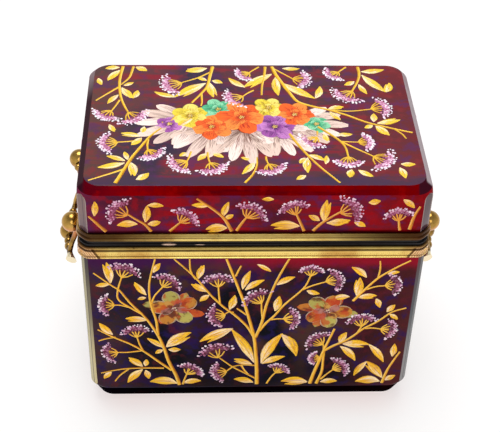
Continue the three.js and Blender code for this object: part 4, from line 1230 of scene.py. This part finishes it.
def bouquet(panel, u, v):
    # roses in the middle of pale lilies and long sage leaves
    plan, tones = bouquetPlan, bouquetTones
    for turn, length, tone in plan["leaves"]:
        angle, (wide, high) = math.radians(turn), plan["leafFoot"]
        panel.leaf(u + math.cos(angle) * wide, v + math.sin(angle) * high, *away(u, v, angle, length),
                   plan["leafWidth"], math.copysign(plan["leafBend"], turn - 90), tones["sage"][tone], "petal", 0.0)
    for du, dv, turn, size in plan["lilies"]:
        lily(panel, u + du, v + dv, turn, size, tones["cream"])
    for du, dv, size, name in plan["roses"]:
        rose(panel, u + du, v + dv, size, tones[name])


def strokeRule():
    # a brush stroke of raised enamel: a low arch that follows a line on the glass
    tree, board, given = newRule("brushStroke", [("Rise", "Float", 0.4), ("Arc points", "Int", 5)])
    line = board.step("GeometryNodeMeshToCurve", output="Curve", Mesh=given["Geometry"])
    line = board.step("GeometryNodeSetCurveNormal", {"mode": "FREE"}, "Curve", Curve=line,
                      Normal=board.named("facing", "FLOAT_VECTOR"))
    arc = board.add("GeometryNodeCurveArc", {}, {
        "Resolution": given["Arc points"], "Radius": 1, "Start Angle": -quarterTurn, "Sweep Angle": math.pi})["Curve"]
    spot = board.add("ShaderNodeSeparateXYZ", {}, {"Vector": board.add("GeometryNodeInputPosition")["Position"]})
    arc = board.step("GeometryNodeStoreNamedAttribute", {"data_type": "FLOAT", "domain": "POINT"},
                     Geometry=arc, Name="across", Value=spot["Y"])
    arc = board.step("GeometryNodeSetPosition", Geometry=arc, Position=board.join(spot["X"] * given["Rise"], spot["Y"]))
    arc = board.step("GeometryNodeSetSplineCyclic", Geometry=arc, Cyclic=True)
    ribbon = board.add("GeometryNodeCurveToMesh", {}, {
        "Curve": line, "Profile Curve": arc, "Scale": board.named("wide", "FLOAT"), "Fill Caps": True})["Mesh"]
    endRule(board, ribbon, given)
    return tree


def dotRule():
    # small domes of enamel, each laid flat on the glass
    tree, board, given = newRule("enamelDots", [("Rise", "Float", 0.5)])
    wide = board.named("wide", "FLOAT")
    dome = board.step("GeometryNodeMeshIcoSphere", output="Mesh", Radius=1, Subdivisions=1)
    endRule(board, standing(board, given, dome, board.join(wide, wide, wide * given["Rise"])), given)
    return tree


paintTones = {
    "fired": (184, 58, 4), "burnt": (84, 36, 6), "gold": (254, 210, 50), "light": (255, 222, 140),
    "shadow": (176, 112, 36), "outline": (240, 214, 180), "bloomLine": (120, 90, 90), "dotLight": (250, 230, 246),
}


def enamelPaint(name):
    # two colours that meet in brush marks, each kind of stroke in its own way
    material, board, place, (x, y, z) = newMaterial(name)
    across, along, side, kind = (board.value(label) for label in ("across", "along", "side", "kind"))
    hair = board.join(along * 1.7 + x * 0.13, across * (1.6 + kind * kind * 1.4), side * 3 + z * 0.11 + y * 0.09)
    marks = board.noise(hair, 1.6, detail=3, roughness=0.6)
    dabs, grain = board.noise(place, 1100, detail=2), board.noise(place, 900, detail=3)
    patches, glaze = board.noise(place, 230, detail=2), board.noise(place, 150, detail=3)
    # each of these masks is 1 on its kind of stroke and on all that follow it in number
    onLeaf, onPetal = kind.ramp(0.4, 0.6), kind.ramp(1.4, 1.6)
    onBloom, onDab = kind.ramp(2.05, 2.15), kind.ramp(2.4, 2.6)
    onAmber, onlyLeaf, petals = kind.ramp(1.96, 1.92) * onPetal, onLeaf - onPetal, onPetal - onDab
    wander = marks - 0.5
    leafShade = across * side * 0.7 + wander * 4.0 + (0.46 - along) * 1.7
    petalShade = wander * 4.4 + (along - 0.45) * 1.4 + abs(across) * 0.2 + (patches - 0.5) * 8 * onAmber
    mask = (across * 0.9 + wander * 1.8).ramp(0.0, 0.75)
    for here, shade in ((onLeaf, leafShade.ramp(-0.2, 0.55)), (onPetal, petalShade.ramp(-0.5, 0.5)),
                        (onDab, dabs.ramp(0.4, 0.62))):
        mask = board.pick(here, mask, shade)
    first, second = board.value("first", "Color"), board.value("second", "Color")
    base = board.coats(
        first, (mask, second),
        (glaze.ramp(0.5, 0.58) * onAmber * 0.75, paintTones["fired"]),
        (glaze.ramp(0.46, 0.4) * patches.ramp(0.54, 0.44) * onAmber * 0.8, paintTones["burnt"]),
        (marks.band(0.4, 0.46, 0.48, 0.54) * onlyLeaf * 0.8, paintTones["gold"]),
        ((wander * 1.4 - across).ramp(0.2, 0.8) * 0.5 * (1 - onLeaf), paintTones["light"]))
    vein = abs(across + wander * 0.4).ramp(0.16, 0.03) * along.ramp(0.85, 0.5) * 0.45
    edge = (abs(across) + wander * 0.6).ramp(0.84, 1.0) * 0.4
    strokes = marks.band(0.53, 0.6, 0.6, 0.67) * 0.6
    shadow = (vein + edge + strokes).maths("MINIMUM", 1) * onlyLeaf + along.ramp(0.35, 0.0) * 0.55 * petals
    base = board.blend(shadow + grain.ramp(0.62, 0.8) * 0.14, base, paintTones["shadow"], "MULTIPLY")
    line = board.blend(onBloom, paintTones["outline"], board.blend(0.85, first, paintTones["bloomLine"], "MULTIPLY"))
    return finishMaterial(material, board, {
        "Base Color": board.coats(base, (abs(across).ramp(0.8, 0.94) * 0.8 * petals, line)),
        "Roughness": 0.36 + grain * 0.16,
        "Specular IOR Level": 0.2,
        "Normal": board.bump(marks + grain * 0.3, 0.3, 0.0002),
    })


def enamelDots(name):
    material, board, place, axes = newMaterial(name)
    grain = board.noise(place, 1400, detail=2)
    return finishMaterial(material, board, {
        "Base Color": board.blend(grain.ramp(0.4, 0.75) * 0.25, board.value("first", "Color"), paintTones["dotLight"]),
        "Roughness": 0.36 + grain * 0.12,
        "Specular IOR Level": 0.15,
        "Normal": board.bump(grain, 0.2, 0.0001),
    })


def enamelPiece(name, panels):
    # every stroke and dot of these panels as one plain mesh
    pieces = []
    for kind, (rise, number) in enamel["kinds"].items():
        points, edges = [], []
        values = {label: [] for label in ("facing", "wide", "along", "side", "kind", "first", "second")}
        chosen = [(panel, stroke) for panel in panels for stroke in panel.strokes if stroke["kind"] == kind]
        for panel, stroke in chosen:
            count, start = len(stroke["points"]), len(points)
            points += stroke["points"]
            edges += [(start + i, start + i + 1) for i in range(count - 1)]
            values["wide"] += [width * mm for width in stroke["widths"]]
            values["along"] += [i / (count - 1) for i in range(count)]
            values["facing"] += [panel.out] * count
            values["kind"] += [number] * count
            for label in ("side", "first", "second"):
                values[label] += [stroke[label]] * count
        if points:
            pieces.append(grow(name + kind, seedMesh(name, points, edges, values), strokeRule(), {
                "Rise": rise, "Arc points": enamel["arcPoints"], "Material": paintEnamel}))
    facing, places, sizes, tones = zip(*[(panel.out, *dot) for panel in panels for dot in panel.dots])
    seed = seedMesh(name, places, [], {"facing": facing, "wide": [size * mm for size in sizes], "first": tones})
    pieces.append(grow(name + "Dots", seed, dotRule(), {"Rise": enamel["dotRise"], "Material": dotEnamel}))
    return joinPieces(name, pieces)


panelFrames = {  # where each flat side begins, and the directions along it, up it and out of it
    "front": ((-68, -46.9, 9.3), (1, 0, 0), (0, 0, 1), (0, -1, 0)),
    "back": ((68, 46.9, 9.3), (-1, 0, 0), (0, 0, 1), (0, 1, 0)),
    "left": ((-72.5, 42.6, 9.3), (0, -1, 0), (0, 0, 1), (-1, 0, 0)),
    "right": ((72.5, -42.6, 9.3), (0, 1, 0), (0, 0, 1), (1, 0, 0)),
    "top": ((-68.6, -43, lidShape["end"]), (1, 0, 0), (0, 1, 0), (0, 0, 1)),
    "lidFront": ((-68.6, -46.9, 101.9), (1, 0, 0), (0, 0, 1), (0, -1, 0)),
    "lidBack": ((68.6, 46.9, 101.9), (-1, 0, 0), (0, 0, 1), (0, 1, 0)),
    "lidLeft": ((-72.5, 42.6, 101.9), (0, -1, 0), (0, 0, 1), (-1, 0, 0)),
    "lidRight": ((72.5, -42.6, 101.9), (0, 1, 0), (0, 0, 1), (1, 0, 0)),
}
layoutWidth, sideWidth, overlap = 136.4, 85.2, 3
wholeLayout = ({},)
bothEnds = ({"high": sideWidth / 2 + overlap},  # the two ends of the front's layout, side by side
            {"shift": sideWidth - layoutWidth, "low": layoutWidth - sideWidth / 2 - overlap})
# side, palette, seed, layout, the parts of it that are used, and the place and turn of each amber blossom
bodySprays = (
    ("front", "front", 41, frontLayout, wholeLayout, ((34, 49, 0.5), (101, 47, 3.7))),
    ("back", "front", 52, frontLayout, ({"mirror": 136},), ((34, 48, 1.2), (102, 48, 1.2))),
    ("left", "front", 63, frontLayout, bothEnds, ((43, 33, 0.7),)),
    ("right", "front", 74, frontLayout, bothEnds, ((43, 33, 2.2),)),
)
lidSprays = (
    ("top", "top", 23, topLayout, wholeLayout, ()),
    ("lidFront", "lidFront", 85, lidFrontLayout, wholeLayout, ()),
    ("lidBack", "lidFront", 96, lidFrontLayout, ({"mirror": 137.2},), ()),
    ("lidLeft", "lidFront", 107, lidFrontLayout, bothEnds, ()),
    ("lidRight", "lidFront", 118, lidFrontLayout, bothEnds, ()),
)


def sprayed(side, palette, seed, layout, parts, blossoms):
    panel = Panel(side, palette, seed)
    for part in parts:
        panel.sprays(layout, **part)
    for u, v, turn in blossoms:
        amberSpray(panel, u, v, turn)
    return panel


def settle(piece, body, slot, *nodes):
    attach(piece, body)
    if nodes:
        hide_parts(*nodes)


# from here on the pieces are built and set on their bodies
wallGlass, lidWallGlass, topGlass, bevelGlass, insideGlass, footGlass = (
    rubyGlass(name) for name in ("rubyWall", "rubyLidWall", "rubyTop", "rubyBevel", "rubyInside", "rubyFoot"))
giltBrass, castBrass, darkBrass = (brass(name) for name in ("giltBrass", "castBrass", "darkBrass"))
facetGlass, paintEnamel, dotEnamel = cutGlass(), enamelPaint("paintEnamel"), enamelDots("dotEnamel")

bodyGlass = glassShell("bodyGlass", bodyShape, [wallGlass, footGlass, facetGlass, insideGlass])
lidGlass = glassShell("lidGlass", lidShape, [lidWallGlass, bevelGlass, facetGlass, insideGlass, topGlass])
settle(bodyGlass, "casket", "ruby_glass", "body_glass")
settle(lidGlass, "lid", "ruby_glass", "lid_glass")
print("glass made")
settle(bodyBand(), "casket", "gilt_brass", "body_band")
settle(milledStrip(), "casket", "gilt_brass")
settle(bodyLiner(), "casket", "dark_brass", "body_liner")
settle(lidBand(), "lid", "gilt_brass", "lid_band")
settle(lidLiner(), "lid", "dark_brass", "lid_liner")
print("rims and liners made")
settle(hingeLeaf("hingeLeafBody", 0, hinge["bodyPlate"]), "casket", "gilt_brass", "hinge_leaf_body")
settle(hingeLeaf("hingeLeafLid", 1, hinge["lidPlate"]), "lid", "gilt_brass", "hinge_leaf_lid")
settle(hingePin(), "casket", "gilt_brass", "hinge_pin")
for sideName, side in (("left", -1), ("right", 1)):
    for place, end in (("front", -1), ("rear", 1)):
        post = f"post_{sideName}_{place}"
        settle(handlePost(post + "_ball", side, end), "casket", "gilt_brass", post)
    settle(bail(f"bail_{sideName}_cast", side), sideName + "_handle", "gilt_brass", f"bail_{sideName}")
print("hinge and handles made")
bodyPanels, lidPanels = [sprayed(*row) for row in bodySprays], [sprayed(*row) for row in lidSprays]
bouquet(lidPanels[0], 64, 42)
print("sprays laid out:", [len(panel.strokes) for panel in bodyPanels + lidPanels])
settle(enamelPiece("bodyEnamel", bodyPanels), "casket", "ruby_glass")
settle(enamelPiece("lidEnamel", lidPanels), "lid", "ruby_glass")
print("enamel made")

studio = {
    "cameraPlace": (-0.024609, -0.421209, 0.425311), "lens": 86.56, "sensor": 36,
    "right": (0.99896426, -0.03654261, 0.02711154), "up": (0.00275334, 0.64329107, 0.76561676),
    # place, size and power of each light
    "lights": {"key": ((-0.06, 0.3, 1.3), 0.9, 11.5), "fill": ((0.05, -1.15, 0.8), 0.8, 4)},
    "lightsAim": (0, 0, 0.06), "skyTop": 0.5, "skyRim": 0.88,
    "floorHalf": 4, "floorZ": -0.0002, "floorTones": ((0.985, 0.955, 0.95, 1), (1.0, 0.975, 0.97, 1)),
    "floorWhite": 0.64, "glow": (255, 240, 238), "white": (1, 1, 1, 1),
}


def floorMaterial():
    # pale paper, with a painted pink glow near the casket's foot, as light through the ruby glass would cast
    material, board, place, (x, y, z) = newMaterial("paleFloor")
    glow = (abs(x) - 62).ramp(22, -8) * y.ramp(-64, -42) * (1 - y.ramp(20, 60))
    tone = board.coats(board.blend(board.noise(place, 3, detail=2), *studio["floorTones"]), (glow, studio["glow"]))
    diffuse = board.add("ShaderNodeBsdfDiffuse", {}, {"Color": tone})["BSDF"]
    rays = board.add("ShaderNodeLightPath")
    seen = rays["Is Camera Ray"]
    for kind in ("Is Glossy Ray", "Is Transmission Ray"):
        seen = seen.maths("MAXIMUM", rays[kind])
    white = board.add("ShaderNodeEmission", {}, {
        "Color": board.blend(glow, studio["white"], studio["glow"]), "Strength": 1})["Emission"]
    both = board.add("ShaderNodeMixShader", {}, {0: seen * studio["floorWhite"], 1: diffuse, 2: white})["Shader"]
    board.add("ShaderNodeOutputMaterial", {}, {"Surface": both})
    return material


def floorPlane():
    half, z = studio["floorHalf"], studio["floorZ"]
    mesh = bpy.data.meshes.new("floor")
    mesh.from_pydata([(-half, -half, z), (half, -half, z), (half, half, z), (-half, half, z)], [], [(0, 1, 2, 3)])
    mesh.materials.append(floorMaterial())
    return linkPiece("floor", mesh)


def softLight(name, place, size, power):
    light = bpy.data.lights.new(name, "AREA")
    light.shape, light.size, light.energy = "DISK", size, power
    lamp = linkPiece(name, light)
    lamp.location = place
    lamp.rotation_euler = (Vector(studio["lightsAim"]) - Vector(place)).to_track_quat("-Z", "Y").to_euler()


def studioWorld():
    scene.world = bpy.data.worlds.new("studio")
    scene.world.use_nodes = True
    scene.world.node_tree.nodes.clear()
    board = Board(scene.world.node_tree)
    up = board.add("ShaderNodeSeparateXYZ", {}, {"Vector": board.add("ShaderNodeTexCoord")["Generated"]})["Z"]
    rim, top = ((level, level, level, 1) for level in (studio["skyRim"], studio["skyTop"]))
    sky = board.add("ShaderNodeBackground", {}, {"Color": board.blend(up.ramp(0.0, 0.9), rim, top), "Strength": 1})
    board.add("ShaderNodeOutputWorld", {}, {"Surface": sky["Background"]})


def studioCamera():
    camera = bpy.data.cameras.new("camera")
    camera.lens, camera.sensor_width, camera.sensor_fit = studio["lens"], studio["sensor"], "HORIZONTAL"
    right, up = Vector(studio["right"]), Vector(studio["up"])
    turn = Matrix((right, up, right.cross(up))).transposed()
    scene.camera = linkPiece("camera", camera)
    scene.camera.matrix_world = Matrix.Translation(studio["cameraPlace"]) @ turn.to_4x4()


floorPlane()
for name, light in studio["lights"].items():
    softLight(name, *light)
studioWorld()
studioCamera()
scene.view_settings.view_transform = "Standard"
print("studio made")
